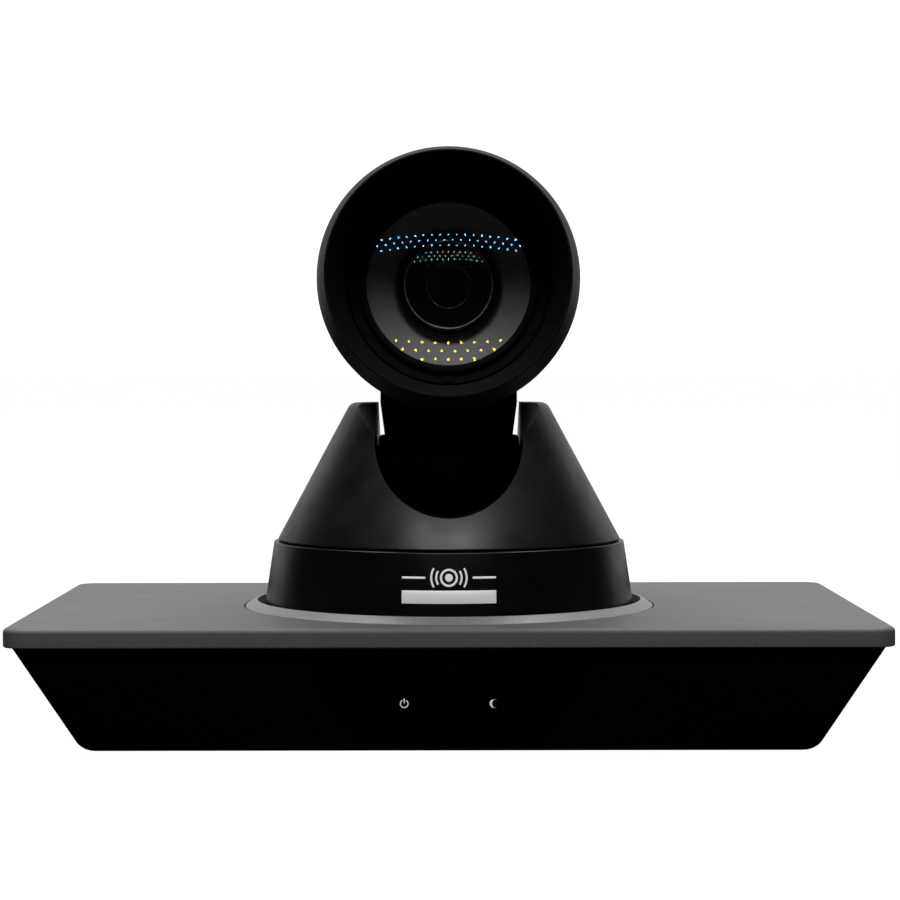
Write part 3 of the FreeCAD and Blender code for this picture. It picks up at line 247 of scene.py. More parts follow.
def block(name, xs, ys, zs):
    """A plain block used as a cutting tool."""
    bm = bmesh.new()
    bmesh.ops.create_cube(bm, size=1.0)
    size = Matrix.Diagonal((xs[1] - xs[0], ys[1] - ys[0], zs[1] - zs[0], 1))
    middle = Matrix.Translation(((xs[0] + xs[1]) / 2, (ys[0] + ys[1]) / 2, (zs[0] + zs[1]) / 2))
    bmesh.ops.transform(bm, matrix=middle @ size, verts=bm.verts)
    return from_bmesh(name, bm)


def prism(name, outline, axis, start, end):
    """A closed outline pulled along an axis: (y, z) pairs along X, (x, z) pairs along Y."""
    bm = bmesh.new()
    rings = []
    for place in (start, end):
        if axis == "X":
            rings.append([bm.verts.new((place, u, v)) for u, v in outline])
        else:
            rings.append([bm.verts.new((u, place, v)) for u, v in outline])
    skin(bm, rings[0], rings[1])
    for ring in rings:
        bm.faces.new(ring)
    return from_bmesh(name, bm)


def apply_modifiers(item):
    """Puts the mesh that the modifiers make in place of the piece's own."""
    graph = bpy.context.evaluated_depsgraph_get()
    mesh = bpy.data.meshes.new_from_object(item.evaluated_get(graph))
    item.modifiers.clear()
    old = item.data
    item.data = mesh
    bpy.data.meshes.remove(old)
    return item


def carve(item, *tools, operation="DIFFERENCE"):
    """Cuts tools from a piece, or keeps only what is inside them, and removes the tools."""
    for tool in tools:
        modifier = item.modifiers.new("carve", "BOOLEAN")
        modifier.operation = operation
        modifier.solver = "EXACT"
        modifier.object = tool
        apply_modifiers(item)
        bpy.data.objects.remove(tool)
    return item


def soften(item, width, segments=3, angle=30.0):
    """Rounds the sharp edges of a piece."""
    bm = bmesh.new()
    bm.from_mesh(item.data)
    bmesh.ops.remove_doubles(bm, verts=bm.verts, dist=0.01 * MM)
    bmesh.ops.dissolve_limit(bm, angle_limit=math.radians(0.5), verts=bm.verts, edges=bm.edges)
    bm.to_mesh(item.data)
    bm.free()
    modifier = item.modifiers.new("soften", "BEVEL")
    modifier.width = width
    modifier.segments = segments
    modifier.limit_method = "ANGLE"
    modifier.angle_limit = math.radians(angle)
    modifier.harden_normals = False
    modifier.use_clamp_overlap = True
    apply_modifiers(item)
    item.data.shade_smooth()
    item.data.set_sharp_from_angle(angle=math.radians(28))
    return item


# ---- Materials ----------------------------------------------------------------------------------


class Material:
    """A node material on the Principled shader, with object-space noise for its texture."""

    def __init__(self, name, color, metallic=0.0, roughness=0.5, **sockets):
        self.name = name
        self.material = bpy.data.materials.new(name)
        self.material.use_nodes = True
        self.nodes = self.material.node_tree.nodes
        self.links = self.material.node_tree.links
        self.shader = self.nodes["Principled BSDF"]
        self.color = (*color, 1.0)
        self.roughness = roughness
        self.shader.inputs["Base Color"].default_value = self.color
        self.shader.inputs["Metallic"].default_value = metallic
        self.shader.inputs["Roughness"].default_value = roughness
        for socket, value in sockets.items():
            self.shader.inputs[socket.replace("_", " ")].default_value = value
        self.place = self.nodes.new("ShaderNodeTexCoord").outputs["Object"]

    def noise(self, scale, detail, stretch=(1, 1, 1)):
        mapping = self.nodes.new("ShaderNodeMapping")
        mapping.inputs["Scale"].default_value = stretch
        self.links.new(self.place, mapping.inputs["Vector"])
        texture = self.nodes.new("ShaderNodeTexNoise")
        texture.inputs["Scale"].default_value = scale
        texture.inputs["Detail"].default_value = detail
        self.links.new(mapping.outputs["Vector"], texture.inputs["Vector"])
        return texture.outputs["Fac"]

    def grain(self, scale, depth, stretch=(1, 1, 1)):
        """Fine relief of a given depth in metres."""
        bump = self.nodes.new("ShaderNodeBump")
        bump.inputs["Strength"].default_value = 1.0
        bump.inputs["Distance"].default_value = depth
        self.links.new(self.noise(scale, 2.0, stretch), bump.inputs["Height"])
        self.links.new(bump.outputs["Normal"], self.shader.inputs["Normal"])
        return self

    def uneven(self, scale, spread):
        """Roughness that varies softly by the spread each way."""
        ramp = self.nodes.new("ShaderNodeMapRange")
        ramp.inputs["From Min"].default_value = 0.3
        ramp.inputs["From Max"].default_value = 0.7
        ramp.inputs["To Min"].default_value = max(0.0, self.roughness - spread)
        ramp.inputs["To Max"].default_value = min(1.0, self.roughness + spread)
        self.links.new(self.noise(scale, 4.0), ramp.inputs["Value"])
        self.links.new(ramp.outputs["Result"], self.shader.inputs["Roughness"])
        return self

    def mottled(self, scale, amount):
        """Colour that varies softly by a small share."""
        ramp = self.nodes.new("ShaderNodeValToRGB")
        dark, light = ramp.color_ramp.elements
        dark.position, light.position = 0.35, 0.65
        dark.color = (*[part * (1 - amount) for part in self.color[:3]], 1.0)
        light.color = (*[min(1.0, part * (1 + amount)) for part in self.color[:3]], 1.0)
        self.links.new(self.noise(scale, 4.0), ramp.inputs["Fac"])
        self.links.new(ramp.outputs["Color"], self.shader.inputs["Base Color"])
        return self


def make_materials():
    """The materials by name: colour, metallic and roughness, then relief, sheen and mottling."""
    made = [
        Material("satin_grey", (0.145, 0.145, 0.144), 0.0, 0.5, Specular_IOR_Level=0.3)
        .grain(4200.0, 0.010 * MM).uneven(60.0, 0.03).mottled(900.0, 0.06),
        # The collar's grey is the plate's own grey painted about twice as light: painted light on its
        # sloping top.
        Material("collar_painted_light_grey", (0.29, 0.29, 0.288), 0.0, 0.38, Specular_IOR_Level=0.4)
        .grain(4200.0, 0.010 * MM).uneven(60.0, 0.03).mottled(900.0, 0.06),
        Material("gloss_black", (0.0012, 0.0012, 0.0014), 0.0, 0.16, Specular_IOR_Level=0.35)
        .grain(300.0, 0.0006 * MM).uneven(90.0, 0.03),
        Material("satin_black", (0.006, 0.006, 0.0062), 0.0, 0.37)
        .grain(5200.0, 0.012 * MM).uneven(120.0, 0.05),
        Material("band_black", (0.003, 0.003, 0.0031), 0.0, 0.30, Specular_IOR_Level=0.4)
        .grain(5200.0, 0.008 * MM).uneven(120.0, 0.04),
        Material("hood_black", (0.003, 0.003, 0.003), 0.0, 0.52, Specular_IOR_Level=0.3,
                 Specular_Tint=(0.45, 0.45, 0.45, 1.0))
        .grain(5200.0, 0.006 * MM).uneven(120.0, 0.03),
        Material("dark_window", (0.0012, 0.0009, 0.001), 0.0, 0.06, Specular_IOR_Level=0.4)
        .grain(200.0, 0.0004 * MM).uneven(70.0, 0.02),
        Material("matte_black", (0.004, 0.004, 0.004), 0.0, 0.6)
        .grain(3000.0, 0.02 * MM).uneven(200.0, 0.06),
        Material("panel_black", (0.018, 0.018, 0.018), 0.0, 0.55)
        .grain(2600.0, 0.03 * MM).uneven(200.0, 0.06),
        Material("deep_black", (0.0012, 0.0012, 0.0012), 0.0, 0.75, Specular_IOR_Level=0.25)
        .grain(3000.0, 0.02 * MM).uneven(200.0, 0.06),
        Material("steel", (0.48, 0.48, 0.49), 1.0, 0.32)
        .grain(1500.0, 0.004 * MM).uneven(400.0, 0.08),
        Material("dark_steel", (0.035, 0.035, 0.037), 0.6, 0.45)
        .grain(2500.0, 0.012 * MM).uneven(300.0, 0.06),
        Material("brass", (0.63, 0.44, 0.18), 1.0, 0.3)
        .grain(1800.0, 0.004 * MM).uneven(500.0, 0.07),
        Material("rubber", (0.015, 0.015, 0.015), 0.0, 0.8)
        .grain(2500.0, 0.03 * MM).uneven(300.0, 0.05),
        Material("board", (0.01, 0.08, 0.03), 0.0, 0.4)
        .grain(900.0, 0.01 * MM).mottled(700.0, 0.25),
        Material("chip", (0.02, 0.02, 0.022), 0.0, 0.5)
        .grain(2500.0, 0.01 * MM).uneven(400.0, 0.05),
        Material("lens_metal", (0.05, 0.05, 0.052), 0.4, 0.45)
        .grain(2800.0, 0.006 * MM).uneven(300.0, 0.05),
        # A satin black cone coloured light grey: the grey is painted sheen, and it also makes up for
        # the light the part-clear glass holds back on the way in and out. The lamps light it as well.
        Material("baffle_grey_painted_sheen", (0.48, 0.48, 0.49), 0.0, 0.5)
        .grain(3500.0, 0.008 * MM).uneven(300.0, 0.06),
        Material("polished_rim", (0.92, 0.93, 0.93), 0.5, 0.25)
        .grain(1500.0, 0.002 * MM).uneven(500.0, 0.05),
        # Silver with a faint glow of its own: painted light that brightens the strip, which is no
        # lamp.
        Material("silver", (0.80, 0.80, 0.81), 0.25, 0.38,
                 Emission_Color=(1.0, 1.0, 1.0, 1.0), Emission_Strength=0.24)
        .grain(900.0, 0.002 * MM, (60, 1, 1)).uneven(700.0, 0.05),
        Material("white_plastic", (0.62, 0.62, 0.6), 0.0, 0.45)
        .grain(1500.0, 0.01 * MM).uneven(300.0, 0.05),
        Material("sheet_aluminium", (0.62, 0.63, 0.64), 1.0, 0.38)
        .grain(900.0, 0.004 * MM, (40, 1, 1)).uneven(400.0, 0.08),
        # White print with a faint glow of its own: the white is the print's colour, and the glow is
        # painted light that brightens the marks, which are no lamps.
        Material("mark_white_painted_glow", (0.88, 0.88, 0.89), 0.0, 0.5,
                 Emission_Color=(1.0, 1.0, 1.0, 1.0), Emission_Strength=0.3)
        .grain(3000.0, 0.004 * MM).uneven(300.0, 0.05),
        Material("clear_plastic", (0.8, 0.8, 0.8), 0.0, 0.12, Transmission_Weight=1.0)
        .grain(600.0, 0.002 * MM),
        Material("coating_blue", (0.12, 0.58, 1.0), 1.0, 0.004, Alpha=0.14)
        .grain(150.0, 0.00002 * MM),
        Material("coating_amber", (1.0, 0.72, 0.06), 1.0, 0.004, Alpha=0.14)
        .grain(150.0, 0.00002 * MM),
        Material("coating_green", (0.7, 1.0, 0.8), 1.0, 0.004, Alpha=0.16)
        .grain(150.0, 0.00005 * MM),
    ]
    return {item.name: item.material for item in made}


MATERIALS = make_materials()


def finish_piece(item, material, body, *nodes, slot=None):
    """Gives a piece its material and body, and hides the CAD nodes it stands for."""
    item.data.materials.clear()
    item.data.materials.append(MATERIALS[material])
    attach(item, body)
    if nodes:
        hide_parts(*nodes)
    return item


# ---- Base ---------------------------------------------------------------------------------------


def plate_loop(inset, z):
    """The plate's outline at a height, drawn in by an inset."""
    return rounded_rectangle(PLATE_HALF_X - inset, inset - PLATE_HALF_Y, PLATE_HALF_Y - inset,
                             PLATE_CORNER - inset, z)


def top_plate():
    """The grey plate, with a round upper edge and a hole for the ring."""
    edge = 1.2 * MM
    rim = 0.3 * MM
    chamfer = 0.15 * MM
    groove = COLLAR_FOOT + 0.4 * MM
    loops = [circle(groove, PLATE_LOW), circle(groove, PLATE_TOP - chamfer),
             circle(groove + chamfer, PLATE_TOP)]
    steps = 6
    for step in range(steps + 1):
        angle = math.radians(90 * step / steps)
        z = PLATE_TOP - edge * (1 - math.cos(angle))
        loops.append(plate_loop(edge * (1 - math.sin(angle)), z))
    loops += [plate_loop(0.0, PLATE_LOW + rim), plate_loop(rim, PLATE_LOW)]
    plate = loft("plate_skin", loops)
    finish_piece(plate, "satin_grey", "base", "base_top_plate", slot="satin_grey")


def collar():
    """The ring in the plate, raised to a lip round the turret's foot."""
    bore = COLLAR_FOOT - 3.6 * MM
    lip = COLLAR_FOOT - 3.0 * MM
    underside = low("collar_ring")[2]
    shoulder = PLATE_TOP - 0.1 * MM
    ring = lathe("collar_skin", [
        (underside, bore, 0), (underside, COLLAR_FOOT, 0), (shoulder, COLLAR_FOOT, 0.25 * MM),
        (COLLAR_TOP, lip, 0.35 * MM), (COLLAR_TOP, bore, 0.15 * MM)])
    # Painted lighter than the plate, though both are the same grey: painted light.
    finish_piece(ring, "collar_painted_light_grey", "base", "collar_ring", slot="satin_grey")


def body_loop(z, inset, corner):
    """The body's outline at a height, drawn in by an inset."""
    share = (z - BODY_LOW) / (PLATE_LOW - BODY_LOW)
    half = BODY_FOOT_HALF + share * (BODY_TOP_HALF - BODY_FOOT_HALF)
    return rounded_rectangle(half - inset, inset - body_front(z), BODY_BACK - inset, corner, z)


def body_front(z):
    """How far the sloping front stands before the pan axis at a height."""
    share = (z - BODY_LOW) / (PLATE_LOW - BODY_LOW)
    return BODY_FOOT_FRONT + share * (BODY_TOP_FRONT - BODY_FOOT_FRONT)


def base_shell():
    """The tapering casing, with a round lower edge and openings for the window and the panel."""
    between = 9.0 * MM
    loops = [body_loop(PLATE_LOW - between * step, 0, BODY_CORNER) for step in range(3)]
    steps = 7
    for step in range(steps + 1):
        angle = math.radians(90 * step / steps)
        inset = BODY_ROUNDING * (1 - math.cos(angle))
        z = BODY_LOW + BODY_ROUNDING * (1 - math.sin(angle))
        loops.append(body_loop(z, inset, BODY_CORNER - inset))
    inner_corner = 2.5 * MM
    loops += [body_loop(z, BODY_WALL, inner_corner) for z in (BODY_LOW, PLATE_LOW)]
    shell = loft("body_skin", loops)
    panel_low, panel_high = low("rear_panel"), high("rear_panel")
    gap = 0.2 * MM
    opening = block("opening", (panel_low[0] - gap, panel_high[0] + gap), (0.060, 0.070),
                    (panel_low[2] - gap, panel_high[2] + gap))
    carve(shell, opening, window_cutter("window_cutter", 0.0))
    soften(shell, 0.18 * MM, 2, 40.0)
    finish_piece(shell, "gloss_black", "base", "base_body", slot="gloss_black")


def window_cutter(name, gap):
    """The infrared window's outline: a disc with flat upper and lower edges, pulled along Y."""
    radius = WINDOW_RADIUS - gap
    first = math.asin((WINDOW_BOTTOM + gap - WINDOW_CENTRE) / radius)
    last = math.asin((WINDOW_TOP - gap - WINDOW_CENTRE) / radius)
    steps = 40
    points = []
    for step in range(steps + 1):
        angle = first + (last - first) * step / steps
        points.append((radius * math.cos(angle), WINDOW_CENTRE + radius * math.sin(angle)))
    points += [(-x, z) for x, z in reversed(points)]
    return prism(name, points, "Y", -0.080, -0.050)


def ir_window():
    """The dark window: a slice of the casing's wall, a hair proud of it."""
    proud, depth = -0.02 * MM, 2.2 * MM
    inner_corner = 3.0 * MM
    window = loft("window_skin", [
        body_loop(PLATE_LOW, proud, BODY_CORNER), body_loop(BODY_LOW, proud, BODY_CORNER),
        body_loop(BODY_LOW, depth, inner_corner), body_loop(PLATE_LOW, depth, inner_corner)])
    carve(window, window_cutter("window_limits", 0.12 * MM), operation="INTERSECT")
    soften(window, 0.15 * MM, 2, 40.0)
    finish_piece(window, "dark_window", "base", "ir_window", slot="dark_window")


# ---- Yoke ---------------------------------------------------------------------------------------


def yoke_band():
    """The upright wall of the turret's foot, with a groove under the cone and a spigot inside."""
    spigot = BAND_TOP + 2.4 * MM
    spigot_inside = 45.2 * MM
    groove = BAND_TOP - 0.8 * MM
    band = lathe("band_skin", [
        (BAND_LOW, 50.0 * MM, 0), (BAND_LOW, BAND_FOOT, 0.3 * MM), (BAND_TOP, BAND_HEAD, 0.45 * MM),
        (BAND_TOP, 49.0 * MM, 0.3 * MM), (groove, 48.6 * MM, 0), (groove, 46.6 * MM, 0),
        (spigot, 46.5 * MM, 0), (spigot, spigot_inside, 0), (BAND_LOW + 2 * MM, spigot_inside, 0)])
    finish_piece(band, "band_black", "yoke", "yoke_band", slot="gloss_black")


def arc(cx, cz, radius, start, end, steps):
    """Points of an arc, angles in degrees from +u towards +v."""
    points = []
    for step in range(steps + 1):
        angle = math.radians(start + (end - start) * step / steps)
        points.append((cx + radius * math.cos(angle), cz + radius * math.sin(angle)))
    return points


def yoke_cone():
    """The cone, its top cut to a ridge, with a channel for the neck and a pocket at the axle."""
    inner = 40.0 * MM
    rebate = 2.5 * MM
    shoulder = CONE_FOOT - math.tan(CONE_SLOPE) * (ARM_TOP - CONE_LOW)
    cone = lathe("cone_skin", [
        (CONE_LOW, inner, 0), (CONE_LOW, CONE_FOOT, 0.35 * MM), (ARM_TOP, shoulder, 3.0 * MM),
        (ARM_TOP, 0, 0), (CONE_LOW + rebate, 0, 0), (CONE_LOW + rebate, inner, 0)], steps=10)
    reach = 60.0 * MM
    eaves = RIDGE_HEIGHT - math.tan(RIDGE_SLOPE) * reach
    roof = [(-reach, 0.0), (reach, 0.0), (reach, eaves), (0.0, RIDGE_HEIGHT), (-reach, eaves)]
    carve(cone, prism("facets", roof, "X", -reach, reach), operation="INTERSECT")
    above = 120.0 * MM
    outline = [(ARM_GAP, above), (-ARM_GAP, above)]
    outline += arc(0, CHANNEL_HEIGHT, ARM_GAP, 180, 360, 96)
    slot = prism("slot", outline, "Y", -reach, reach)
    pocket_outline = arc(0, TILT_HEIGHT, AXLE_POCKET, 0, 358, 179)
    pocket = prism("pocket", pocket_outline, "X", -ARM_GAP, ARM_GAP)
    carve(cone, slot, pocket)
    soften(cone, 0.9 * MM, 4, 24.0)
    finish_piece(cone, "satin_black", "yoke", "yoke_cover", slot="satin_black")


# ---- Head ---------------------------------------------------------------------------------------


def line_hood(hood):
    """Makes the faces of the hood that look at the optical axis deep black."""
    hood.data.materials.append(MATERIALS["deep_black"])
    to_axis = OPTICAL.inverted()
    for face in hood.data.polygons:
        spoke = (to_axis @ face.center) * Vector((1, 1, 0))
        if spoke.dot(to_axis.to_3x3() @ face.normal) < 0:
            face.material_index = 1


def head_shells():
    """Hood, barrel and rear cap; each corner is (depth, radius, rounding) in millimetres."""
    hood = head_lathe("hood_skin", [
        (0, 33.2, 0.2), (0, 33.8, 0.25), (10.5, 35.8, 8), (17, 36.7, 12), (28.8, 36.7, 0.9),
        (28.8, 31.9, 0), (42, 31.9, 0), (42, 29.0, 0), (26, 29.6, 4)], steps=8)
    finish_piece(hood, "hood_black", "head", "lens_hood", slot="satin_black")
    line_hood(hood)
    barrel = head_lathe("barrel_skin", [
        (29.0, 32.2, 0), (29.0, 34.5, 0.4), (88.8, 34.5, 0.3), (88.8, 32.0, 0)])
    finish_piece(barrel, "gloss_black", "head", "head_barrel", slot="gloss_black")
    cap = head_lathe("cap_skin", [
        (89.0, 31.9, 0), (89.0, 34.5, 0.3), (102.8, 34.5, 9), (102.8, 0, 0), (100.3, 0, 0),
        (100.3, 31.9, 7)], steps=14)
    finish_piece(cap, "gloss_black", "head", "head_rear_cap", slot="gloss_black")


def neck():
    """The stem between the tilt axle and the barrel, wider above, with a boss at each side."""
    drum = 17.0 * MM
    top = 106.0 * MM
    half_low, half_top = 18.7 * MM, 19.9 * MM
    side = [(drum, top), (-drum, top)] + arc(0, TILT_HEIGHT, drum, 180, 360, 72)
    stem = prism("neck_skin", side, "X", -half_top, half_top)
    right = [(half_low, 0.055), (half_low, 0.086), (half_top, 0.095), (half_top, 0.110)]
    front = [(-half_low, 0.055)] + right + [(-x, z) for x, z in reversed(right[1:])]
    carve(stem, prism("taper", front, "Y", -0.03, 0.03), operation="INTERSECT")
    reach = 50.0 * MM
    seat = BARREL_RADIUS - 0.2 * MM
    saddle = [(-reach, 0, 0), (-reach, seat, 0), (reach, seat, 0), (reach, 0, 0)]
    carve(stem, lathe("saddle", saddle, LEVEL_OPTICAL))
    soften(stem, 0.8 * MM, 4, 28.0)
    boss_foot, boss_end, boss_radius = 14.0 * MM, 20.9 * MM, 6.0 * MM
    for name, turn in (("neck_boss_left", -90), ("neck_boss_right", 90)):
        outwards = Matrix.Rotation(math.radians(turn), 4, "Y")
        boss = lathe(name, [(boss_foot, 0, 0), (boss_foot, boss_radius, 0),
                            (boss_end, boss_radius, 1.2 * MM), (boss_end, 0, 0)],
                     HEAD @ Matrix.Translation((0, 0, TILT_HEIGHT)) @ outwards, segments=96)
        finish_piece(boss, "matte_black", "head", slot="matte_black")
    stem.data.transform(HEAD)
    finish_piece(stem, "matte_black", "head", "head_neck", slot="matte_black")


def lens_front():
    """What the hood holds; each corner is (depth, radius, rounding) in millimetres."""
    carrier = head_lathe("carrier_skin", [
        (38.0, 25.2, 0), (38.0, 28.8, 0.3), (41.0, 28.8, 0), (41.0, 23.6, 0), (39.0, 23.6, 0),
        (39.0, 25.2, 0)])
    finish_piece(carrier, "deep_black", "head", "lens_carrier", slot="matte_black")
    bezel = head_lathe("bezel_skin", [
        (36.2, 23.5, 0.3), (36.2, 25.4, 0.5), (38.2, 25.4, 0), (38.2, 23.5, 0)])
    finish_piece(bezel, "hood_black", "head", "bezel_ring", slot="gloss_black")
    ring = head_lathe("lens_ring_skin", [
        (40.8, 13.2, 0.2), (40.8, 14.4, 0.3), (41.4, 14.9, 0.2), (45.0, 14.9, 0), (45.0, 12.7, 0),
        (41.6, 12.7, 0.3)])
    finish_piece(ring, "gloss_black", "head", "lens_ring", slot="gloss_black")
    baffle = head_lathe("baffle_skin", [
        (41.2, 27.4, 0.1), (44.4, 15.1, 0), (45.0, 15.1, 0), (45.0, 16.0, 0), (42.0, 27.4, 0)])
    # Light grey colour on a satin black cone: painted sheen.
    finish_piece(baffle, "baffle_grey_painted_sheen", "head", "baffle_cone", slot="lens_metal")
    iris = head_lathe("iris_skin", [
        (48.6, 6.1, 0.15), (48.6, 6.7, 0.15), (49.0, 6.9, 0), (49.0, 15.1, 0), (49.6, 15.1, 0),
        (49.6, 6.1, 0)])
    finish_piece(iris, "deep_black", "head", "iris_plate", slot="lens_metal")
    lip = head_lathe("iris_lip", [
        (48.3, 6.15, 0.1), (48.3, 6.45, 0.1), (48.6, 6.45, 0), (48.6, 6.15, 0)])
    finish_piece(lip, "polished_rim", "head", slot="lens_metal")
    edge = head_lathe("element_lip", [
        (41.3, 12.5, 0.1), (41.3, 12.75, 0.1), (42.0, 12.75, 0), (42.0, 12.5, 0)])
    finish_piece(edge, "polished_rim", "head", slot="lens_metal")
    glass_disc("front_glass_skin", "front_glass", 37.4, 23.4, (1.0, 1.37),
               ("coating_blue", "coating_amber"))
    glass_disc("front_element_skin", "front_element", 43.0, 12.6, (0.48, 0.3),
               ("coating_green", "coating_green"))


def glass_disc(name, node, rim_depth, radius, bulges, coatings):
    """A lens that bulges on both sides, each with its own coating, and has a blackened edge."""
    steps = 40
    thick = 1.6
    edge_on = 0.5
    outline = []
    for bulge, depth, way in ((bulges[0], rim_depth, -1), (bulges[1], rim_depth + thick, 1)):
        curvature = (radius ** 2 + bulge ** 2) / (2 * bulge)
        side = []
        for step in range(steps + 1):
            reach = radius * step / steps
            rise = math.sqrt(curvature ** 2 - reach ** 2) - curvature + bulge
            side.append((depth + way * rise, reach, 0))
        outline += side if way < 0 else reversed(side)
    disc = head_lathe(name, outline, segments=128, sharp=20.0)
    finish_piece(disc, coatings[0], "head", node, slot="lens_glass")
    disc.data.materials.append(MATERIALS[coatings[1]])
    disc.data.materials.append(MATERIALS["deep_black"])
    forwards = HEAD.to_3x3() @ Vector((0, -1, 0))
    for face in disc.data.polygons:
        facing = face.normal.dot(forwards)
        if abs(facing) < edge_on:
            face.material_index = 2
        else:
            face.material_index = 0 if facing > 0 else 1


# ---- Printed marks ------------------------------------------------------------------------------

PRINT = 0.03 * MM


def ring_mark(bm, centre, outer, inner, start=0.0, end=360.0, steps=48):
    """A flat ring, or part of one, in the (u, v) plane."""
    closed = end - start >= 360.0
    rows = []
    for step in range(steps if closed else steps + 1):
        angle = math.radians(start + (end - start) * step / steps)
        across, up = math.cos(angle), math.sin(angle)
        rows.append([bm.verts.new((centre[0] + radius * across, 0, centre[1] + radius * up))
                     for radius in (outer, inner)])
    followers = rows[1:] + rows[:1] if closed else rows[1:]
    for row, after in zip(rows, followers):
        bm.faces.new((row[0], after[0], after[1], row[1]))


def bar_mark(bm, us, vs, steps=12):
    """A flat bar in the (u, v) plane, in short lengths so that it can follow a curve."""
    columns = []
    for step in range(steps + 1):
        u = us[0] + (us[1] - us[0]) * step / steps
        columns.append([bm.verts.new((u, 0, v)) for v in vs])
    for column, after in zip(columns, columns[1:]):
        bm.faces.new((column[0], after[0], after[1], column[1]))


def print_mark(name, bm, place, body, material):
    """Lays a flat mark on a surface, thickens it and hands it over."""
    for vertex in bm.verts:
        vertex.co = place(vertex.co.x, vertex.co.z)
    item = from_bmesh(name, bm)
    modifier = item.modifiers.new("ink", "SOLIDIFY")
    modifier.thickness = PRINT
    modifier.offset = 0.0
    apply_modifiers(item)
    finish_piece(item, material, body, slot="white_plastic")


def on_body_front(u, v):
    """The place on the casing's sloping front for a mark's (u, v)."""
    return Vector((u, -body_front(v) - 0.6 * PRINT, v))


def on_band(u, v, lift=0.6 * PRINT):
    """The place on the turret's band for a mark's (u, v), u being measured round it."""
    share = (v - BAND_LOW) / (BAND_TOP - BAND_LOW)
    radius = BAND_FOOT + share * (BAND_HEAD - BAND_FOOT) + lift
    return Vector((radius * math.sin(u / radius), -radius * math.cos(u / radius), v))


def indicator_marks():
    """A power sign and a standby moon over the two indicator lights."""
    height = 14.6 * MM
    place = 12.2 * MM
    outer, inner = 1.2 * MM, 0.9 * MM
    power = bmesh.new()
    ring_mark(power, (-place, height), outer, inner, -240.0, 60.0)
    half_bar = 0.16 * MM
    bar_mark(power, (-place - half_bar, -place + half_bar),
             (height + 0.1 * MM, height + 1.45 * MM))
    print_mark("power_mark", power, on_body_front, "base", "mark_white_painted_glow")
    moon = bmesh.new()
    rows = []
    steps = 32
    for step in range(steps + 1):
        angle = math.radians(60.0 + 240.0 * step / steps)
        bulge = 0.72 * MM * math.sin(math.pi * step / steps)
        u, v = place + outer * math.cos(angle), height + outer * math.sin(angle)
        rows.append([moon.verts.new((u, 0, v)), moon.verts.new((u + bulge, 0, v))])
    for row, after in zip(rows, rows[1:]):
        moon.faces.new((row[0], after[0], after[1], row[1]))
    bmesh.ops.remove_doubles(moon, verts=moon.verts, dist=0.001 * MM)
    print_mark("standby_mark", moon, on_body_front, "base", "mark_white_painted_glow")


def emblem():
    """A plain lens sign with arcs and bars beside it, over the nameplate."""
    height = 47.7 * MM
    centre = (0, height)
    line = 0.55
    half_bar = 0.3 * MM
    spread = 32.0
    sign = bmesh.new()
    ring_mark(sign, centre, 2.5 * MM, 1.9 * MM)
    ring_mark(sign, centre, 1.1 * MM, 0.02 * MM)
    for side in (0.0, 180.0):
        ends = (side - spread, side + spread)
        for radius in (3.8, 5.2):
            ring_mark(sign, centre, radius * MM, (radius - line) * MM, *ends, 16)
    for start, end in ((-13.2, -6.6), (6.6, 13.2)):
        bar_mark(sign, (start * MM, end * MM), (height - half_bar, height + half_bar))
    print_mark("emblem", sign, on_band, "yoke", "mark_white_painted_glow")


def name_strip():
    """The silver strip, with a painted glow: a thin rounded bar bent round the band."""
    inset = 0.05 * MM
    lift = 0.24 * MM
    bend = 1.008
    half = high("nameplate")[0] * bend
    bm = bmesh.new()
    bar_mark(bm, (-half, half), (low("nameplate")[2] + inset, high("nameplate")[2] - inset), 40)
    for vertex in bm.verts:
        vertex.co = on_band(vertex.co.x, vertex.co.z, lift)
    strip = from_bmesh("name_strip", bm)
    modifier = strip.modifiers.new("sheet", "SOLIDIFY")
    modifier.thickness = 0.4 * MM
    modifier.offset = 0.0
    apply_modifiers(strip)
    soften(strip, 0.14 * MM, 2, 40.0)
    finish_piece(strip, "silver", "yoke", "nameplate", slot="silver")


# ---- CAD nodes that stay ------------------------------------------------------------------------

KEPT = {
    "dark_steel": ("bottom_cover",),
    "clear_plastic": ("light_guides",),
    "board": ("indicator_board", "main_board", "sensor_board"),
    "chip": ("ir_receivers", "board_chips", "dc_jack", "round_sockets"),
    "rubber": ("rubber_feet", "tilt_belt"),
    "brass": ("tripod_insert", "bracket_inserts", "pan_pinion", "tilt_bushes"),
    "steel": ("base_screws", "lan_socket", "hdmi_socket", "usb_socket", "pan_bracket",
              "pan_post", "bearing_inner_rings", "bearing_outer_rings", "pan_motor",
              "tilt_motor", "yoke_screws", "neck_screws", "tilt_axles"),
    "panel_black": ("rear_panel", "rocker_frame", "power_rocker"),
    "white_plastic": ("pan_gear", "tilt_pulley"),
    "sheet_aluminium": ("pan_hub", "tilt_frame", "tilt_motor_pulley", "module_plate"),
    "deep_black": ("carrier_screws", "lens_tube", "filter_slide"),
    "lens_metal": ("zoom_group", "focus_group"),
}


def dress_kept_nodes():
    """Gives each CAD node that stays visible its material."""
    for material, names in KEPT.items():
        for name in names:
            mesh = frame["nodes"][name].data
            mesh.materials.clear()
            mesh.materials.append(MATERIALS[material])
            mesh.shade_smooth()
            mesh.set_sharp_from_angle(angle=math.radians(30))


# ---- Studio -------------------------------------------------------------------------------------


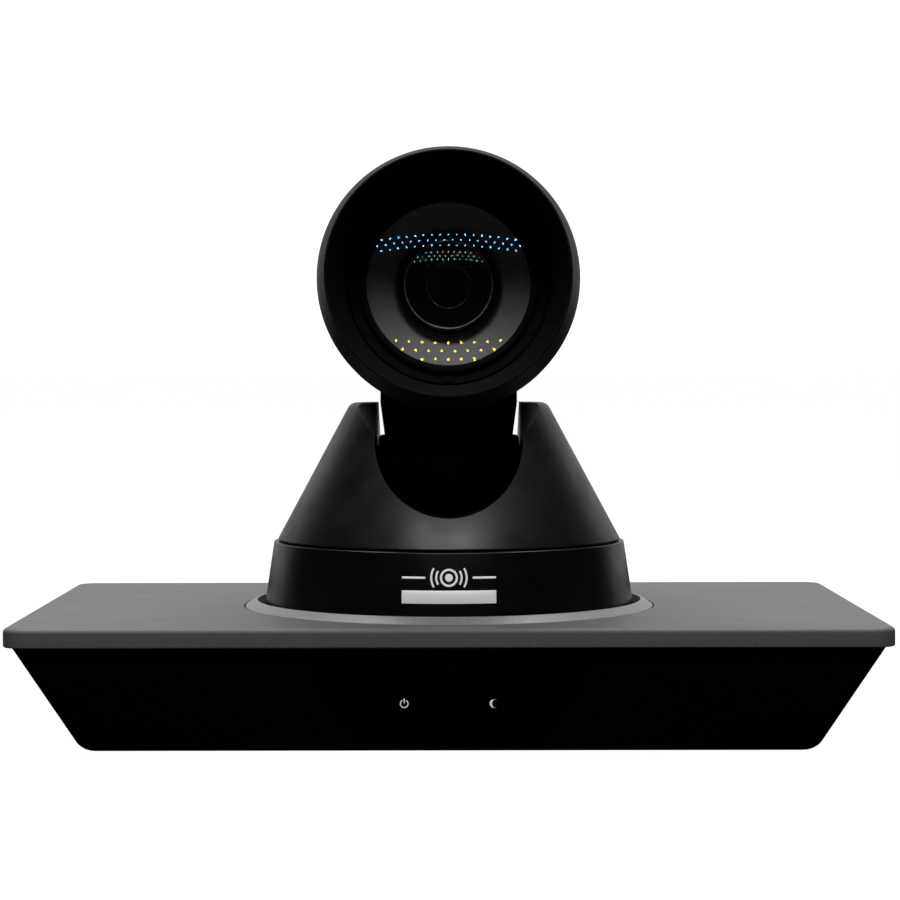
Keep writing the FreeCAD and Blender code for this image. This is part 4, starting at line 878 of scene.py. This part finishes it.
def area_light(name, place, target, wide, deep, energy):
    """A rectangular lamp at a place, turned to a target."""
    data = bpy.data.lights.new(name, "AREA")
    data.shape = "RECTANGLE"
    data.size = wide
    data.size_y = deep
    data.energy = energy
    lamp = bpy.data.objects.new(name, data)
    bpy.context.scene.collection.objects.link(lamp)
    lamp.location = place
    lamp.rotation_euler = (Vector(target) - Vector(place)).to_track_quat("-Z", "Y").to_euler()


def glowing(name, color, strength):
    """A material that only gives light."""
    made = Material(name, (0.0, 0.0, 0.0), 0.0, 1.0)
    made.shader.inputs["Emission Color"].default_value = (*color, 1.0)
    made.shader.inputs["Emission Strength"].default_value = strength
    return made.material


def floor():
    """Pale paper that the camera sees nearly white and that throws little light back."""
    bm = bmesh.new()
    bmesh.ops.create_grid(bm, x_segments=1, y_segments=1, size=30.0)
    item = from_bmesh("floor", bm)
    paper = Material("paper", (0.05, 0.05, 0.05), 0.0, 0.9)
    glow = paper.nodes.new("ShaderNodeMath")
    glow.operation = "MULTIPLY"
    glow.inputs[1].default_value = 1.0
    path = paper.nodes.new("ShaderNodeLightPath")
    paper.links.new(path.outputs["Is Camera Ray"], glow.inputs[0])
    paper.shader.inputs["Emission Color"].default_value = (1, 1, 1, 1)
    paper.links.new(glow.outputs["Value"], paper.shader.inputs["Emission Strength"])
    item.data.materials.append(paper.material)
    item.visible_glossy = False
    return item


def backdrop():
    """A bright wall behind, which the camera doesn't see, for the light along the edges."""
    bm = bmesh.new()
    bmesh.ops.create_grid(bm, x_segments=1, y_segments=1, size=0.5)
    place = (Matrix.Translation((0, 1.6, 0.75)) @ Matrix.Diagonal((4.4, 1, 1.5, 1))
             @ Matrix.Rotation(math.radians(90), 4, "X"))
    bmesh.ops.transform(bm, matrix=place, verts=bm.verts)
    item = from_bmesh("backdrop", bm)
    item.data.materials.append(glowing("backdrop_glow", (1, 1, 1), 0.55))
    item.visible_camera = False
    return item


def lamp_strip():
    """Three arched rows of small round lamps before the hood, which only shiny faces mirror."""
    bm = bmesh.new()
    distance = 0.5
    hood_centre = Vector((0, HOOD_FRONT, OPTICAL_HEIGHT))
    spacing = 1.6
    lowest = 14.5
    arch = 0.0072
    for row in range(3):
        for index in range(-9, 10):
            along = spacing * (index + 0.5 * (row % 2))
            azimuth = math.radians(along)
            elevation = math.radians(lowest + row - arch * along ** 2)
            level = math.cos(elevation)
            centre = Vector((math.sin(azimuth) * level, -math.cos(azimuth) * level,
                             math.sin(elevation))) * distance
            turn = (-centre).to_track_quat("Z", "Y").to_matrix().to_4x4()
            place = Matrix.Translation(centre + hood_centre) @ turn
            bmesh.ops.create_circle(bm, cap_ends=True, segments=12, radius=1.35 * MM, matrix=place)
    mesh = bpy.data.meshes.new("lamp_strip")
    bm.to_mesh(mesh)
    bm.free()
    item = link("lamp_strip", mesh)
    item.data.materials.append(glowing("lamp_glow", (1.0, 1.0, 1.0), 13.0))
    item.visible_camera = False
    item.visible_diffuse = False
    return item


def studio():
    """Floor, backdrop, lamps, and a world that is white to the camera and dark to the rest."""
    floor()
    backdrop()
    lamp_strip()
    world = bpy.data.worlds.new("studio")
    world.use_nodes = True
    bpy.context.scene.world = world
    nodes, links = world.node_tree.nodes, world.node_tree.links
    bright = nodes["Background"]
    bright.inputs["Color"].default_value = (1, 1, 1, 1)
    bright.inputs["Strength"].default_value = 1.2
    dim = nodes.new("ShaderNodeBackground")
    dim.inputs["Color"].default_value = (1, 1, 1, 1)
    dim.inputs["Strength"].default_value = 0.002
    path = nodes.new("ShaderNodeLightPath")
    mix = nodes.new("ShaderNodeMixShader")
    links.new(path.outputs["Is Camera Ray"], mix.inputs[0])
    links.new(dim.outputs["Background"], mix.inputs[1])
    links.new(bright.outputs["Background"], mix.inputs[2])
    links.new(mix.outputs["Shader"], nodes["World Output"].inputs["Surface"])
    area_light("overhead", (0.0, 0.25, 1.3), (0, 0, 0.05), 1.4, 0.8, 20.0)
    area_light("front_panel", (0.0, -0.56, 0.66), (0, -0.03, 0.07), 0.56, 0.20, 2.7)


def camera():
    """The camera before the object, a little below the lens and looking slightly down."""
    data = bpy.data.cameras.new("camera")
    data.sensor_width = 36.0
    data.lens = 97.8
    data.clip_start = 0.01
    item = bpy.data.objects.new("camera", data)
    bpy.context.scene.collection.objects.link(item)
    item.location = (0.0004, -0.7287, 0.10615)
    item.rotation_euler = (math.radians(90.0 - 1.95), math.radians(0.1), 0.0)
    bpy.context.scene.camera = item


top_plate()
collar()
base_shell()
ir_window()
yoke_band()
yoke_cone()
head_shells()
neck()
lens_front()
indicator_marks()
emblem()
name_strip()
dress_kept_nodes()
studio()
camera()
bpy.context.scene.view_settings.view_transform = "Standard"
